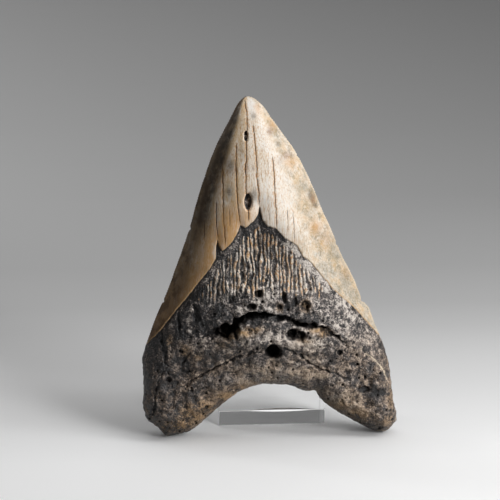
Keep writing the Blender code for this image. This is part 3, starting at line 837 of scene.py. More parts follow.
def convexity(piece):
    """How far each point stands out from its neighbours, in shares of their distance: over 0 on crests."""
    mesh = piece.data
    cloud = read_vectors(mesh.vertices, "co")
    normals = read_vectors(mesh.vertex_normals, "vector")
    count = len(cloud)
    ends = np.zeros(len(mesh.edges) * 2, dtype=np.int32)
    mesh.edges.foreach_get("vertices", ends)
    a, b = ends.reshape(-1, 2).T
    degree = np.bincount(np.concatenate([a, b]), minlength=count)

    def around(values):
        """The mean of each point's neighbours."""
        summed = np.bincount(a, weights=values[b], minlength=count)
        return (summed + np.bincount(b, weights=values[a], minlength=count)) / np.maximum(degree, 1)

    centre = np.stack([around(cloud[:, axis]) for axis in range(3)], axis=1)
    summed = np.bincount(a, weights=np.linalg.norm(cloud[a] - cloud[b], axis=1), minlength=count)
    length = 2.0 * summed / np.maximum(degree, 1)
    value = np.einsum("ij,ij->i", cloud - centre, normals) / np.maximum(length, TINY)
    wide = value
    for _ in range(RELIEF_SPREADS):
        wide = 0.5 * wide + 0.5 * around(wide)
    return np.clip(value * RELIEF_FINE + wide * RELIEF_WIDE, -1.0, 1.0)


# ---- Masks of colour ----

# Marks on the enamel: (u, v, half width, half height, strength)
SMUDGES = [
    (-16.8, 110, 1.6, 2.8, 0.85), (-17.8, 99.8, 1.4, 2.5, 1), (-7.6, 129.7, 1, 1.2, 0.9),
    (2, 118.6, 0.6, 0.8, 0.9), (15.1, 97.6, 1.1, 1.8, 0.9), (17.4, 93.2, 0.8, 1.1, 0.9),
    (-7.9, 98.8, 1.6, 2.2, 0.85), (-12.3, 116, 1.6, 4, 0.4)]
RUSTS = [
    (-14.6, 108.4, 0.5, 1, 0.9), (-10.7, 109.4, 0.6, 2.6, 0.9), (-8.1, 109.2, 0.5, 0.9, 0.8),
    (-1.2, 123.5, 0.9, 1.3, 0.9), (5.5, 113.8, 2, 1.6, 0.7), (16.4, 96, 1.2, 2, 0.9),
    (-18.1, 108.2, 1.2, 2.6, 0.3), (2.9, 112, 1.5, 2, 0.3), (-36.3, 82.4, 1.6, 1.6, 0.8)]
OCHRES = [
    (-5.8, 132.6, 1.6, 2.6, 0.6), (0.1, 126, 2, 3, 0.6), (17, 85.2, 2.3, 2.8, 0.9), (7, 111, 2.4, 3, 0.5),
    (-17.7, 88, 2.6, 6, 0.55), (-10, 91, 3.4, 3.4, 0.5), (20.9, 80, 3, 3.6, 0.4), (-21, 101, 1.4, 5, 0.3),
    (30, 66, 2.5, 3, 0.35)]
OLIVES = [
    (0.8, 123.2, 2, 2.4, 0.6), (2.5, 119.6, 2.2, 3, 0.5), (11.7, 101.6, 2.8, 2.8, 0.7),
    (24, 76.2, 1.6, 2.4, 0.7), (25.4, 72.4, 1.6, 2.2, 0.7), (29.4, 62.6, 1.8, 2.2, 0.7),
    (16.2, 91, 2, 2.6, 0.4), (18.1, 98, 1.5, 2.6, 0.3), (34.6, 56.4, 1.6, 2, 0.5)]
CHALKS = [
    (-8.4, 133.6, 1.5, 3.2, 0.9), (-19.3, 95.8, 0.6, 1.5, 0.9), (13, 83.4, 0.8, 0.6, 1),
    (-22.6, 90, 0.35, 6.5, 0.6), (-23.6, 76.5, 0.5, 3.5, 0.8), (-15.4, 104, 0.4, 6, 0.3)]

# Tan wear of the root's crests: (u, v, half width, half height, strength)
TANS = [
    (-18, 43, 3, 1.4, 0.9), (-13, 44.6, 4, 1.3, 1), (-8.5, 46, 3.5, 1.2, 0.8), (16.6, 45, 3, 1, 1),
    (19.6, 43.6, 2.4, 1, 1), (11.6, 40.8, 3, 1.2, 0.5), (11.9, 54.9, 2, 2.2, 0.9), (1.7, 54.4, 1.3, 1.4, 0.9),
    (-27.8, 12.4, 5, 3, 0.8), (-19, 16.4, 5, 2.4, 0.9), (-11.4, 20, 5, 1.8, 0.7), (-34.7, 10.7, 4, 3.5, 0.7),
    (-37.8, 5, 5, 3, 0.8), (-30.5, 8, 4, 3, 0.8), (17, 16.8, 2, 1.8, 0.6), (26, 11.5, 6, 3, 0.7),
    (34, 8, 5, 3, 0.6), (-42, 40.5, 1.6, 3, 0.5), (-35.5, 36, 1.8, 2.6, 0.6), (-30.6, 34, 2.4, 1.6, 0.4),
    (-20.5, 40, 3, 1.4, 0.5), (48.6, 13, 1.6, 4, 0.5), (47, 5, 2.4, 3, 0.5), (-46.8, 4, 3, 2, 0.6)]
# Darker and paler stretches of the root, partly the crust's own tone and partly painted light and shade:
# painted shade along the arched crack and in the left side's furrows, painted light on the belt below that
# crack and on the swell's lower slope above the arch: (u, v, half width, half height, strength)
DARKS_AND_PAINTED_SHADE = [
    (-24.5, 50, 6, 4.5, 0.7), (-30.6, 50.4, 2.2, 4.4, 1), (-37.6, 47.4, 2, 4.6, 1), (-44.6, 38, 2, 7.6, 1),
    (-36.4, 32, 2.4, 4.2, 0.9), (-34, 27.4, 2.2, 1.8, 0.7), (-47.5, 40, 3, 5, 0.6), (-28, 60, 6, 5, 0.5),
    (-14, 57.4, 5, 2.4, 0.45), (-9, 49.6, 4.6, 2.6, 0.95), (0, 50.4, 7, 1.6, 0.8), (6.5, 55.4, 3, 2.8, 0.8),
    (3.4, 58.2, 1.4, 2.8, 0.8), (15, 49, 5, 2, 0.8), (-51, 26, 3, 9, 0.55), (35.5, 19, 2.6, 1.5, 0.8),
    (41.8, 17.8, 3, 2, 0.85), (-10, 72, 7, 4, 0.3), (-26, 29, 7, 1.6, 0.35), (26, 34, 4, 2.6, 0.4),
    (24, 26, 9, 1.6, 0.35), (-40, 55, 4, 4, 0.45), (46.5, 33, 2.6, 6, 0.4), (3.4, 47, 3, 1.6, 0.5),
    (-13, 81, 5, 4, 0.45), (-6, 86, 3, 5, 0.5), (1.5, 82, 3, 3, 0.45)]
PALES_AND_PAINTED_LIGHT = [
    (7, 77.5, 4, 4, 1.6), (12, 71, 4.5, 4, 1.6), (-3, 58.4, 9, 2.6, 1), (14, 61, 10, 4, 0.6),
    (-14.6, 53.4, 5, 1.6, 1), (-4, 42.6, 11, 2.6, 1.5), (14, 39.4, 9, 3, 1.1), (0, 33, 8, 1.4, 0.9),
    (28, 58, 8, 7, 0.2), (0, 26.4, 24, 6, 1.6), (20, 73, 9, 6, 1), (26, 13, 9, 6, 1.6), (12, 68, 12, 8, 0.6),
    (-20, 17, 10, 4, 0.5), (-33.9, 47, 0.9, 5, 0.9), (-40.8, 43, 1, 6, 0.7), (-40.4, 33, 1.2, 5, 0.6),
    (-33, 40, 5, 1.6, 0.5), (7.5, 46.4, 4, 1, 0.6), (-24, 36.6, 8, 2.4, 0.4)]
MARKS = {"smudge": SMUDGES, "rust": RUSTS, "ochre": OCHRES, "olive": OLIVES, "chalk": CHALKS,
         "tan": TANS, "dark": DARKS_AND_PAINTED_SHADE, "pale": PALES_AND_PAINTED_LIGHT}
SPOT_WARP = (0.7, 1.6, 12.9)
LINE_WARP = (0.3, 1.2, 4.4)
LINE_CORE = 0.3
PALE_LINE_HALF = 0.42
PALE_LINE = [(36.9, 33.8), (38.9, 32.8), (42.3, 29.6), (44.8, 26.4), (46.4, 22.5)]


def spots_mask(points, spots):
    """The strongest of many soft ragged spots at each point."""
    ragged = warp(points, *SPOT_WARP)
    mask = np.zeros(len(points))
    for spot in spots:
        mask = np.maximum(mask, soft_spot(ragged, *spot))
    return mask


def line_mask(points, chain, half):
    """1 along a chain, fading to 0 at its half width."""
    gap = distance_to_chain(warp(points, *LINE_WARP), np.array(chain))[0]
    return falloff(LINE_CORE * half, half, gap)


def finish_masks(piece, masks):
    """Everything that the tooth's material reads, stored on the mesh's points."""
    mesh = piece.data
    cloud = read_vectors(mesh.vertices, "co") / MM
    points = cloud[:, :2]
    front = smoothstep(-0.4, 0.4, cloud[:, 2])
    enamel = 1.0 - masks["bare"]
    below = masks["below"]
    hollow = np.maximum(smoothstep(1.2, 4.2, masks["hollow"]), 0.8 * smoothstep(0.15, 0.5, masks["pore"]))
    stored = {key: masks[key] for key in ("below", "across", "crack", "hole", "zone")}
    stored |= {
        "enamel": enamel,
        "height": points[:, 1],
        "rim": falloff(0.15, 0.8, masks["gap"]),
        "halo": falloff(0.16, 0.6, masks["near"]) * enamel,
        "hollow": hollow,
        "groove": smoothstep(0.2, 1.1, masks["hollow"]),
        "crest": masks["crest"] * masks["zone"],
        "band": smoothstep(0.0, 0.5, below) * falloff(2.6, 4.2, below) * front,
        "relief": convexity(piece),
        "paleline": line_mask(points, PALE_LINE, PALE_LINE_HALF) * front,
        "low": smoothstep(50.0, 26.0, points[:, 1] + 3.0 * noise_at(points, 6.0, 41.3)),
    }
    for key, spots in MARKS.items():
        stored[key] = spots_mask(points, spots) * front
    for key, values in stored.items():
        layer = mesh.attributes.new(key, "FLOAT", "POINT")
        layer.data.foreach_set("value", np.asarray(values, dtype=np.float32))


# ---- Materials ----

def srgb(red, green, blue):
    """Linear colour of a 0 to 255 sRGB one."""
    shares = (red / 255.0, green / 255.0, blue / 255.0)
    return (*(c / 12.92 if c <= 0.04 else ((c + 0.055) / 1.055) ** 2.4 for c in shares), 1.0)


class Shader:
    """A material's node tree, with a short call for each kind of node."""

    def __init__(self, name):
        self.material = bpy.data.materials.new(name)
        self.material.use_nodes = True
        self.tree = self.material.node_tree
        self.surface = self.tree.nodes["Principled BSDF"]
        self.own = self.add("ShaderNodeTexCoord").outputs["Object"]

    def add(self, kind, inputs=None, **settings):
        """A node with its settings and inputs, each a value or another node's output."""
        made = self.tree.nodes.new(kind)
        for key, value in settings.items():
            setattr(made, key, value)
        for key, value in (inputs or {}).items():
            self.feed(made.inputs[key], value)
        return made

    def feed(self, socket, value):
        """Link or set one input."""
        if isinstance(value, bpy.types.NodeSocket):
            self.tree.links.new(value, socket)
        else:
            socket.default_value = value

    def set(self, **inputs):
        """Inputs of the Principled shader, with _ for each space."""
        for key, value in inputs.items():
            self.feed(self.surface.inputs[key.replace("_", " ")], value)

    def attribute(self, name):
        return self.add("ShaderNodeAttribute", attribute_name=name).outputs["Fac"]

    def shifted(self, shift, tall=1.0):
        """The object's own coordinates moved by shift, and v divided by tall."""
        inputs = {"Vector": self.own, "Location": (shift, shift, shift), "Scale": (1.0, 1.0 / tall, 1.0)}
        return self.add("ShaderNodeMapping", inputs).outputs["Vector"]

    def noise(self, size, detail=2.0, roughness=0.5, tall=1.0, shift=0.0):
        """Noise with lumps about size mm across and tall times as high."""
        inputs = {"Vector": self.shifted(shift, tall), "Scale": 1.0 / (size * MM), "Detail": detail,
                  "Roughness": roughness}
        return self.add("ShaderNodeTexNoise", inputs).outputs["Fac"]

    def scattered(self, size, shift):
        """Cells round scattered points about size mm apart."""
        inputs = {"Vector": self.shifted(shift), "Scale": 1.0 / (size * MM)}
        return self.add("ShaderNodeTexVoronoi", inputs)

    def cells(self, size, shift):
        """Distance to the nearest of scattered points about size mm apart."""
        return self.scattered(size, shift).outputs["Distance"]

    def flecks(self, size, shift):
        """A value in 0 to 1 drawn for each of many small cells about size mm across."""
        cells = self.scattered(size, shift)
        return self.add("ShaderNodeSeparateColor", {"Color": cells.outputs["Color"]}).outputs["Red"]

    def between(self, value, low, high, first=0.0, last=1.0):
        """first below low, last above high, smooth between."""
        inputs = {"Value": value, "From Min": low, "From Max": high, "To Min": first, "To Max": last}
        return self.add("ShaderNodeMapRange", inputs, interpolation_type="SMOOTHSTEP").outputs["Result"]

    def maths(self, operation, first, second):
        return self.add("ShaderNodeMath", {0: first, 1: second}, operation=operation,
                        use_clamp=operation != "SUBTRACT").outputs["Value"]

    def times(self, *values):
        product = values[0]
        for value in values[1:]:
            product = self.maths("MULTIPLY", product, value)
        return product

    def mix(self, amount, first, second, blend="MIX"):
        """second over first by amount."""
        made = self.add("ShaderNodeMix", data_type="RGBA", blend_type=blend)
        for index, value in ((0, amount), (6, first), (7, second)):
            self.feed(made.inputs[index], value)
        return made.outputs[2]

    def coats(self, colour, *coats):
        """colour under one coat after another, each an amount and a paint."""
        for amount, paint in coats:
            colour = self.mix(amount, colour, paint)
        return colour

    def blend(self, amount, first, second):
        """mix for numbers."""
        return self.add("ShaderNodeMix", {0: amount, 2: first, 3: second}, data_type="FLOAT").outputs[0]

    def ramp(self, value, *stops):
        """A colour ramp through (position, colour) stops."""
        made = self.add("ShaderNodeValToRGB", {"Fac": value})
        marks = made.color_ramp.elements
        while len(marks) < len(stops):
            marks.new(0.5)
        for mark, (position, colour) in zip(marks, stops):
            mark.position = position
            mark.color = colour
        return made.outputs["Color"]

    def bump(self, height, strength, distance, under=None):
        """A bump with its height in mm."""
        inputs = {"Height": height, "Strength": strength, "Distance": distance * MM}
        if under is not None:
            inputs["Normal"] = under
        return self.add("ShaderNodeBump", inputs).outputs["Normal"]


IVORY = srgb(252, 240, 224)
CREAM = srgb(240, 222, 198)
SAND = srgb(206, 180, 146)
COOL_GREY = srgb(232, 225, 217)
OCHRE = srgb(186, 134, 76)
AMBER = srgb(214, 158, 92)
GOLD = srgb(214, 178, 122)
OLIVE = srgb(124, 118, 98)
RUST = srgb(122, 72, 40)
SMUDGE = srgb(88, 80, 72)
CHALK = srgb(252, 248, 242)
CRACK = srgb(40, 25, 14)
# The next two darken the crown's left flank and its outermost edge, as painted shade.
PAINTED_SHADE = srgb(42, 32, 22)
SHADED_EDGE_BROWN = srgb(78, 58, 38)
INK = srgb(7, 6, 6)
JET = srgb(15, 14, 15)
COAL = srgb(44, 41, 41)
SLATE = srgb(86, 79, 76)
ASH = srgb(150, 140, 133)
PEARL = srgb(222, 212, 202)
WARM = srgb(255, 238, 218)
TAN = srgb(200, 162, 116)
BONE = srgb(232, 214, 188)


def enamel_colour(shader):
    """Streaked ivory enamel, clouded towards the edges, stained at its cracks and foot, with painted shade
    over its left flank and a little over its right side.
    """
    times, between, mask = shader.times, shader.between, shader.attribute
    streak = shader.noise(0.42, 3.0, 0.65, 30.0)
    thread = shader.noise(0.28, 2.0, 0.5, 34.0, 6.6)
    wide_streak = shader.noise(2.2, 2.0, 0.5, 14.0, 3.1)
    cloudy = shader.noise(8.0, 2.0, 0.5, 2.4, 7.7)
    grain = shader.noise(0.5, 2.0, 0.6, shift=1.3)
    blotch = shader.noise(4.2, 4.0, 0.62, 1.3, 5.2)
    second = shader.noise(3.6, 4.0, 0.62, 1.2, 11.9)
    fleck = shader.flecks(0.55, 8.1)
    across, below, height = mask("across"), mask("below"), mask("height")
    leftward = between(across, 0.0, -0.4)
    threads = times(between(thread, 0.54, 0.64), shader.blend(leftward, 0.45, 0.8))
    foot = times(between(below, -13.0, 0.0), between(across, -0.02, -0.42))
    colour = shader.coats(
        shader.ramp(streak, (0.31, SAND), (0.385, CREAM), (0.46, IVORY)),
        (between(wide_streak, 0.5, 0.66, 0.0, 0.3), COOL_GREY),
        (between(cloudy, 0.52, 0.68, 0.0, 0.28), GOLD),
        (threads, OCHRE),
        (between(thread, 0.47, 0.39, 0.0, 0.8), CHALK),
        (between(fleck, 0.72, 1.0, 0.0, 0.22), OCHRE),
        (times(leftward, between(wide_streak, 0.36, 0.56, 0.2, 0.6)), GOLD),
        (times(foot, between(streak, 0.36, 0.6, 0.35, 0.8)), AMBER),
        # painted shade: the right side dulled a little, against the key light that falls strongest there
        (between(across, 0.2, 0.6, 0.0, 0.12), SAND))
    edge = between(across, 0.36, 0.8)
    speckled = between(fleck, 0.1, 0.9, 0.55, 1.0)
    corner = times(edge, between(height, 92.0, 70.0), speckled)
    stained = between(shader.noise(0.8, 2.0, 0.6, 2.6, 3.7), 0.38, 0.58, 0.2, 0.95)
    # Painted shade: the crown's left flank, away from the key light, darkened over its mottled stain,
    # reaching further in higher up.
    inner = between(height, 86.0, 118.0, 0.12, 0.0)
    left_of = shader.add("ShaderNodeMath", {0: across, 1: inner}, operation="ADD").outputs["Value"]
    high = between(height, 76.0, 90.0, 0.45, 1.0)
    shaded = times(between(left_of, -0.53, -0.74), between(across, -0.98, -0.88, 0.4, 1.0), high)
    colour = shader.coats(
        colour,
        (times(edge, speckled, between(blotch, 0.42, 0.62, 0.05, 0.7)), GOLD),
        (times(edge, speckled, between(second, 0.45, 0.62, 0.08, 0.62)), OLIVE),
        (times(corner, between(blotch, 0.64, 0.4, 0.1, 0.55)), OLIVE),
        (times(mask("halo"), stained), AMBER),
        # painted shade over the left flank, then its outermost edge browned: mottled stain darkened further
        # as painted shade
        (times(shaded, between(second, 0.3, 0.6, 0.7, 0.97)), PAINTED_SHADE),
        (times(between(across, -0.78, -0.92), between(blotch, 0.4, 0.6, 0.5, 0.85)), SHADED_EDGE_BROWN))
    for name, paint, most in (("ochre", AMBER, 0.75), ("olive", OLIVE, 0.7), ("rust", RUST, 0.8),
                              ("smudge", SMUDGE, 0.85), ("chalk", CHALK, 0.85)):
        amount = times(mask(name), between(grain, 0.25, 0.6, 0.6 * most, most))
        colour = shader.mix(amount, colour, paint)
    rim = times(mask("rim"), between(across, -0.1, 0.5), between(grain, 0.4, 0.6, 0.3, 0.85))
    return shader.coats(colour, (rim, BONE), (between(mask("crack"), 0.04, 0.3), CRACK)), streak


def root_colour(shader):
    """Salt-and-pepper crust, warm where it is low or worn, with painted light on swells and on its right
    side, painted shade on its left side and along the arched crack, and near black painted shade in hollows.
    """
    times, between, mask = shader.times, shader.between, shader.attribute
    low = mask("low")
    fine = shader.flecks(0.5, 1.7)
    medium = shader.flecks(0.95, 5.2)
    patch = shader.noise(6.0, 2.0, 0.5, shift=2.2)
    mottle = shader.noise(2.4, 4.0, 0.7, shift=6.3)
    warm = shader.noise(1.6, 2.0, 0.5, 2.5, 9.1)
    shine = shader.noise(3.2, 2.0, 0.5, 1.6, 17.3)
    across, zone = mask("across"), mask("zone")
    value = shader.blend(0.3, fine, medium)
    value = shader.blend(0.5, value, between(mottle, 0.28, 0.7))
    # Painted light and shade: the pale spots add painted light and the dark spots painted shade, the relief's
    # hollows are darkened as painted shade, and the right side is lifted and the left side darkened as
    # painted light and shade.
    for operation, amount in (("ADD", times(mask("pale"), 0.27)),
                              ("ADD", between(across, 0.0, 0.5, 0.0, 0.06)),
                              ("ADD", between(patch, 0.4, 0.64, 0.0, 0.1)),
                              ("SUBTRACT", times(mask("dark"), 0.34)),
                              ("SUBTRACT", between(mask("relief"), 0.0, -0.5, 0.0, 0.28)),
                              ("SUBTRACT", between(patch, 0.56, 0.36, 0.0, 0.1)),
                              ("SUBTRACT", between(across, -0.45, -0.8, 0.0, 0.09)),
                              ("SUBTRACT", times(mask("band"), between(across, 0.35, 0.0), 0.06))):
        value = shader.maths(operation, value, amount)
    value = shader.blend(times(low, 0.4), value, 0.48)
    colour = shader.ramp(value, (0.2, JET), (0.36, COAL), (0.5, SLATE), (0.63, ASH), (0.82, PEARL))
    colour = shader.mix(times(low, between(patch, 0.35, 0.6, 0.3, 0.9)), colour, WARM, "MULTIPLY")
    crest = shader.blend(0.3, mask("crest"), shader.blend(0.5, fine, mottle))
    ridge_paint = shader.ramp(warm, (0.34, PEARL), (0.44, IVORY), (0.53, AMBER), (0.63, IVORY))
    # Grooves paler and crest paint fuller towards the right: painted light on the lit side, painted shade on
    # the left.
    groove_paint = shader.mix(between(across, -0.08, 0.3), JET, SLATE)
    lit = times(between(shine, 0.36, 0.54, 0.25, 1.0), between(across, -0.4, -0.1, 0.6, 1.0))
    colour = shader.coats(
        colour,
        (times(zone, between(crest, 0.44, 0.26, 0.0, 0.65)), groove_paint),
        (times(zone, lit, between(crest, 0.37, 0.55)), ridge_paint),
        (times(mask("tan"), between(value, 0.34, 0.56, 0.1, 0.95)), TAN),
        (times(mask("paleline"), between(value, 0.34, 0.5, 0.1, 0.95)), BONE),
        # Painted shade: darker in shallow grooves and near black deep in the cracks, pits and pores.
        (times(mask("groove"), 0.6), JET),
        (times(mask("hollow"), 0.94), INK))
    return colour, mottle


def tooth_material():
    """Enamel and root in one finish, parted by the foot of the enamel."""
    shader = Shader("fossil_tooth")
    times, between, mask = shader.times, shader.between, shader.attribute
    enamel, below, hollow = mask("enamel"), mask("below"), mask("hollow")
    holed = shader.maths("SUBTRACT", enamel, mask("hole"))
    light, streak = enamel_colour(shader)
    dark, mottle = root_colour(shader)
    # Tan along the foot of the enamel, strongest low down: partly the foot's own tint, partly a painted
    # highlight where the enamel's edge catches the light.
    lip = times(between(below, -0.5, -0.2), between(below, 0.16, 0.06),
                between(shader.noise(2.5, 2.0, 0.6, shift=14.1), 0.36, 0.56, 0.3, 0.95),
                between(mask("height"), 84.0, 70.0, 0.25, 0.9))
    colour = shader.coats(dark, (between(holed, 0.35, 0.65), light), (lip, TAN))
    root_rough = shader.blend(hollow, between(mottle, 0.3, 0.7, 0.3, 0.55), 0.95)
    enamel_rough = between(streak, 0.3, 0.7, 0.44, 0.58)
    crust = shader.bump(shader.cells(0.6, 2.4), 0.7, 0.35)
    crust = shader.bump(shader.noise(0.8, 2.0, 0.7, shift=4.6), 0.8, 0.6, crust)
    scratched = shader.bump(streak, 0.55, 0.12)
    normal = shader.add("ShaderNodeMix", {0: enamel, 4: crust, 5: scratched}, data_type="VECTOR").outputs[1]
    shader.set(Base_Color=colour, Roughness=shader.blend(enamel, root_rough, enamel_rough), Normal=normal,
               Specular_IOR_Level=shader.blend(hollow, 0.5, 0.05), Metallic=0.0, IOR=1.52)
    return shader.material


def clear_material():
    """Clear acrylic: plain transmission, refraction and a faint absorption."""
    shader = Shader("clear_acrylic")
    shader.set(Base_Color=(1.0, 1.0, 1.0, 1.0), Roughness=0.0, IOR=1.49, Transmission_Weight=1.0,
               Metallic=0.0)
    soak = shader.add("ShaderNodeVolumeAbsorption", {"Color": (0.93, 0.97, 0.96, 1.0), "Density": 1.6})
    output = shader.tree.nodes["Material Output"]
    shader.tree.links.new(soak.outputs["Volume"], output.inputs["Volume"])
    return shader.material


# ---- The two pieces ----

def stand_tooth(piece):
    """Stand the tooth on its lobes, leaning on the block, where its solid stands."""
    low, high = (np.array(corner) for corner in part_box("stand"))
    piece.rotation_euler = (0.5 * math.pi - LEAN, 0.0, 0.0)
    bpy.context.view_layer.update()
    turn = np.array(piece.matrix_world)[:3, :3]
    cloud = read_vectors(piece.data.vertices, "co") @ turn.T
    lift = -cloud[:, 2].min()
    centre_u = 0.5 * (low[0] + high[0]) - BLOCK_CENTRE_U * MM
    over = np.abs(cloud[:, 0] - BLOCK_CENTRE_U * MM) < 0.5 * (high[0] - low[0]) + BLOCK_ROUND * MM
    over &= (cloud[:, 2] + lift > 0.0) & (cloud[:, 2] + lift < high[2] + MM)
    back = cloud[over, 1].max()
    piece.location = (centre_u, low[1] - CLEARANCE * MM - back, lift)


def make_tooth():
    form = Form()
    cloud, faces, masks = tooth_mesh(form)
    piece = build_object("tooth_fine", cloud, faces)
    roughen(piece, masks)
    finish_masks(piece, masks)
    piece.data.materials.append(tooth_material())
    stand_tooth(piece)
    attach(piece, "root")
    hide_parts("tooth")
    return piece


def block_section(x, low, high):
    """The block's outline in y and z at one x, its corners rounded and its lower back corner bevelled."""
    bevel = BEVEL_LEAST + BEVEL_MORE * max(0.0, 1.0 - ((x - BEVEL_CENTRE) / BEVEL_HALF) ** 2)
    rise = bevel * math.cos(BEVEL_TURN) / math.sin(BEVEL_TURN)
    loop = [(high[1] - bevel, low[2]), (high[1], low[2] + rise)]
    corners = ((high[1], high[2], 0.0), (low[1], high[2], 90.0), (low[1], low[2], 180.0))
    for corner_y, corner_z, start in corners:
        centre_y = corner_y - math.copysign(BLOCK_EDGE, corner_y)
        centre_z = corner_z - math.copysign(BLOCK_EDGE, corner_z)
        for step in range(BLOCK_EDGE_STEPS + 1):
            turn = math.radians(start + 90.0 * step / BLOCK_EDGE_STEPS)
            loop.append((centre_y + BLOCK_EDGE * math.cos(turn), centre_z + BLOCK_EDGE * math.sin(turn)))
    return np.array(loop)


def make_stand():
    """The polished block, its edges finer than the solid's."""
    corners = [np.array(corner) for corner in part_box("stand")]
    middle = 0.5 * (corners[0] + corners[1])
    low, high = ((corner - middle) / MM for corner in corners)
    edge = BLOCK_END_EDGE
    turns = [0.5 * math.pi * step / BLOCK_EDGE_STEPS for step in range(BLOCK_EDGE_STEPS)]
    ends = [(edge * (1.0 - math.cos(turn)), edge * (1.0 - math.sin(turn))) for turn in turns]
    stations = [(low[0] + run, inset) for run, inset in ends]
    stations += [(x, 0.0) for x in np.linspace(low[0] + edge, high[0] - edge, BLOCK_STATIONS)]
    stations += [(high[0] - run, inset) for run, inset in ends[::-1]]
    points = []
    for x, inset in stations:
        loop = block_section(x, low, high) * (1.0 - inset / high[1:])
        points += [(x, y, z) for y, z in loop]
    count = len(points) // len(stations)
    faces = [tuple(range(count))[::-1], tuple(range(len(points) - count, len(points)))]
    for row in range(len(stations) - 1):
        for index in range(count):
            here, after = row * count + index, row * count + (index + 1) % count
            faces.append((here, after, after + count, here + count))
    piece = build_object("stand_clear", np.array(points), faces)
    piece.location = middle
    piece.data.set_sharp_from_angle(angle=SHARP_FROM)
    even = piece.modifiers.new("flat faces", "WEIGHTED_NORMAL")
    even.keep_sharp = True
    piece.data.materials.append(clear_material())
    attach(piece, "root")
    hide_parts("stand")
    return piece


# ---- Stage, light and camera ----

FLOOR_GAP = 0.0001
FLOOR_FRONT = -3.0
FLOOR_SIDE = 4.0
SWEEP_START = 0.55
SWEEP_RADIUS = 0.5
SWEEP_STEPS = 24
SWEEP_TOP = 3.0
# How pale the sweep is, palest near the object and darker away from it as painted light falloff, (metres back
# and then up along it, paleness)
SWEEP_PAINTED_FALLOFF = [
    (-0.70, 0.20), (-0.30, 0.40), (-0.11, 0.98), (-0.04, 0.98), (0, 0.86), (0.05, 0.75), (0.10, 0.66),
    (0.15, 0.55), (0.20, 0.475), (0.30, 0.42), (0.55, 0.395), (0.80, 0.297), (1.10, 0.20)]
CAMERA_AZIMUTH = -3.4        # in degrees
CAMERA_ELEVATION = 12.0
CAMERA_DISTANCE = 0.512
CAMERA_TARGET = Vector((-0.0093, 0.0007, 0.07525))   # from the middle of the block's front bottom edge
LENS = 90.0                  # in mm, on a sensor this wide
SENSOR = 36.0
NEAR_CLIP = 0.01
FILL_GREY = (0.5, 0.5, 0.5, 1.0)
FILL_STRENGTH = 0.03
LIT_POINT = Vector((0.0, 0.0, 0.06))
# (name, azimuth and elevation in degrees, distance, width and height in metres, watts, and where
# the first three are measured from and what the light faces, if not LIT_POINT)
LIGHTS = [("key", 44.0, 20.0, 0.9, 0.3, 0.5, 5.6),
          ("high_key", 70.0, 43.0, 0.9, 0.3, 0.5, 3.0),
          ("side", 85.0, 62.0, 1.3, 0.9, 0.9, 1.9),
          ("back", 180.0, 73.0, 1.3, 1.1, 1.6, 5.4),
          ("backdrop", 180.0, 60.0, 0.9, 0.9, 0.5, 9.4, Vector((-0.9, 0.1, 0.0)), Vector((-0.7, 1.05, 0.5)))]


def towards(azimuth, elevation):
    """Unit vector from the object, azimuth 0 to the front and positive to the right, in degrees."""
    a, e = math.radians(azimuth), math.radians(elevation)
    return Vector((math.sin(a) * math.cos(e), -math.cos(a) * math.cos(e), math.sin(e)))


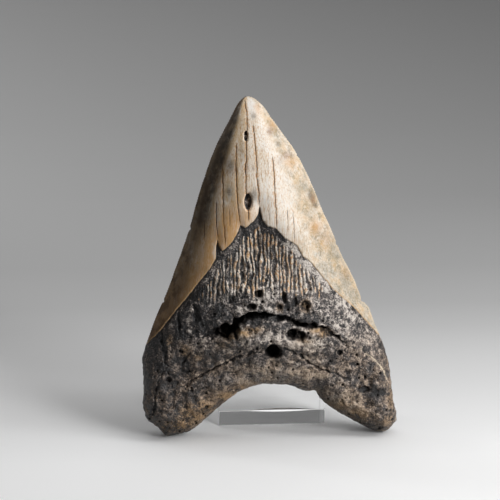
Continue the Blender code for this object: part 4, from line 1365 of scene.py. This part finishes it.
def make_floor():
    """A pale sweep: a broad floor that curves up into a backdrop, its paleness falling away as painted light
    falloff.
    """
    profile = [(FLOOR_FRONT, 0.0), (SWEEP_START, 0.0)]
    for step in range(1, SWEEP_STEPS + 1):
        turn = 0.5 * math.pi * step / SWEEP_STEPS
        profile.append((SWEEP_START + SWEEP_RADIUS * math.sin(turn), SWEEP_RADIUS * (1.0 - math.cos(turn))))
    profile.append((SWEEP_START + SWEEP_RADIUS, SWEEP_TOP))
    corners = [(side, y, z - FLOOR_GAP) for y, z in profile for side in (-FLOOR_SIDE, FLOOR_SIDE)]
    faces = [(2 * row, 2 * row + 1, 2 * row + 3, 2 * row + 2) for row in range(len(profile) - 1)]
    floor = build_object("floor", np.array(corners), faces, 1.0)
    shader = Shader("pale_floor")
    place = shader.add("ShaderNodeNewGeometry").outputs["Position"]
    split = shader.add("ShaderNodeSeparateXYZ", {0: place})
    run = shader.add("ShaderNodeMath", {0: split.outputs["Y"], 1: split.outputs["Z"]}, operation="ADD")
    near, far = SWEEP_PAINTED_FALLOFF[0][0], SWEEP_PAINTED_FALLOFF[-1][0]
    inputs = {"Value": run.outputs["Value"], "From Min": near, "From Max": far}
    along = shader.add("ShaderNodeMapRange", inputs).outputs["Result"]
    stops = [((at - near) / (far - near), (pale, pale, pale, 1.0)) for at, pale in SWEEP_PAINTED_FALLOFF]
    shader.set(Base_Color=shader.ramp(along, *stops), Roughness=0.8)
    floor.data.materials.append(shader.material)
    floor.visible_diffuse = False
    return floor


def add_light(name, azimuth, elevation, distance, wide, tall, power, centre=LIT_POINT, aim=LIT_POINT):
    """A soft light some way off its centre, facing its aim."""
    data = bpy.data.lights.new(name, "AREA")
    data.shape = "RECTANGLE"
    data.size = wide
    data.size_y = tall
    data.energy = power
    lamp = add_object(name, data)
    lamp.location = centre + distance * towards(azimuth, elevation)
    lamp.rotation_euler = (lamp.location - aim).to_track_quat("Z", "Y").to_euler()


def make_lights():
    for settings in LIGHTS:
        add_light(*settings)
    world = bpy.data.worlds.new("studio")
    bpy.context.scene.world = world
    world.use_nodes = True
    fill = world.node_tree.nodes["Background"].inputs
    fill["Color"].default_value = FILL_GREY
    fill["Strength"].default_value = FILL_STRENGTH


def make_camera():
    data = bpy.data.cameras.new("camera")
    data.lens = LENS
    data.sensor_width = SENSOR
    data.clip_start = NEAR_CLIP
    camera = add_object("camera", data)
    direction = towards(CAMERA_AZIMUTH, CAMERA_ELEVATION)
    low, high = (Vector(corner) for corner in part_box("stand"))
    front = Vector((0.5 * (low.x + high.x), low.y, low.z))
    camera.location = front + CAMERA_TARGET + CAMERA_DISTANCE * direction
    camera.rotation_euler = direction.to_track_quat("Z", "Y").to_euler()
    bpy.context.scene.camera = camera


make_tooth()
make_stand()
make_floor()
make_lights()
make_camera()
bpy.context.scene.view_settings.view_transform = "Standard"
bpy.context.scene.view_settings.look = "None"
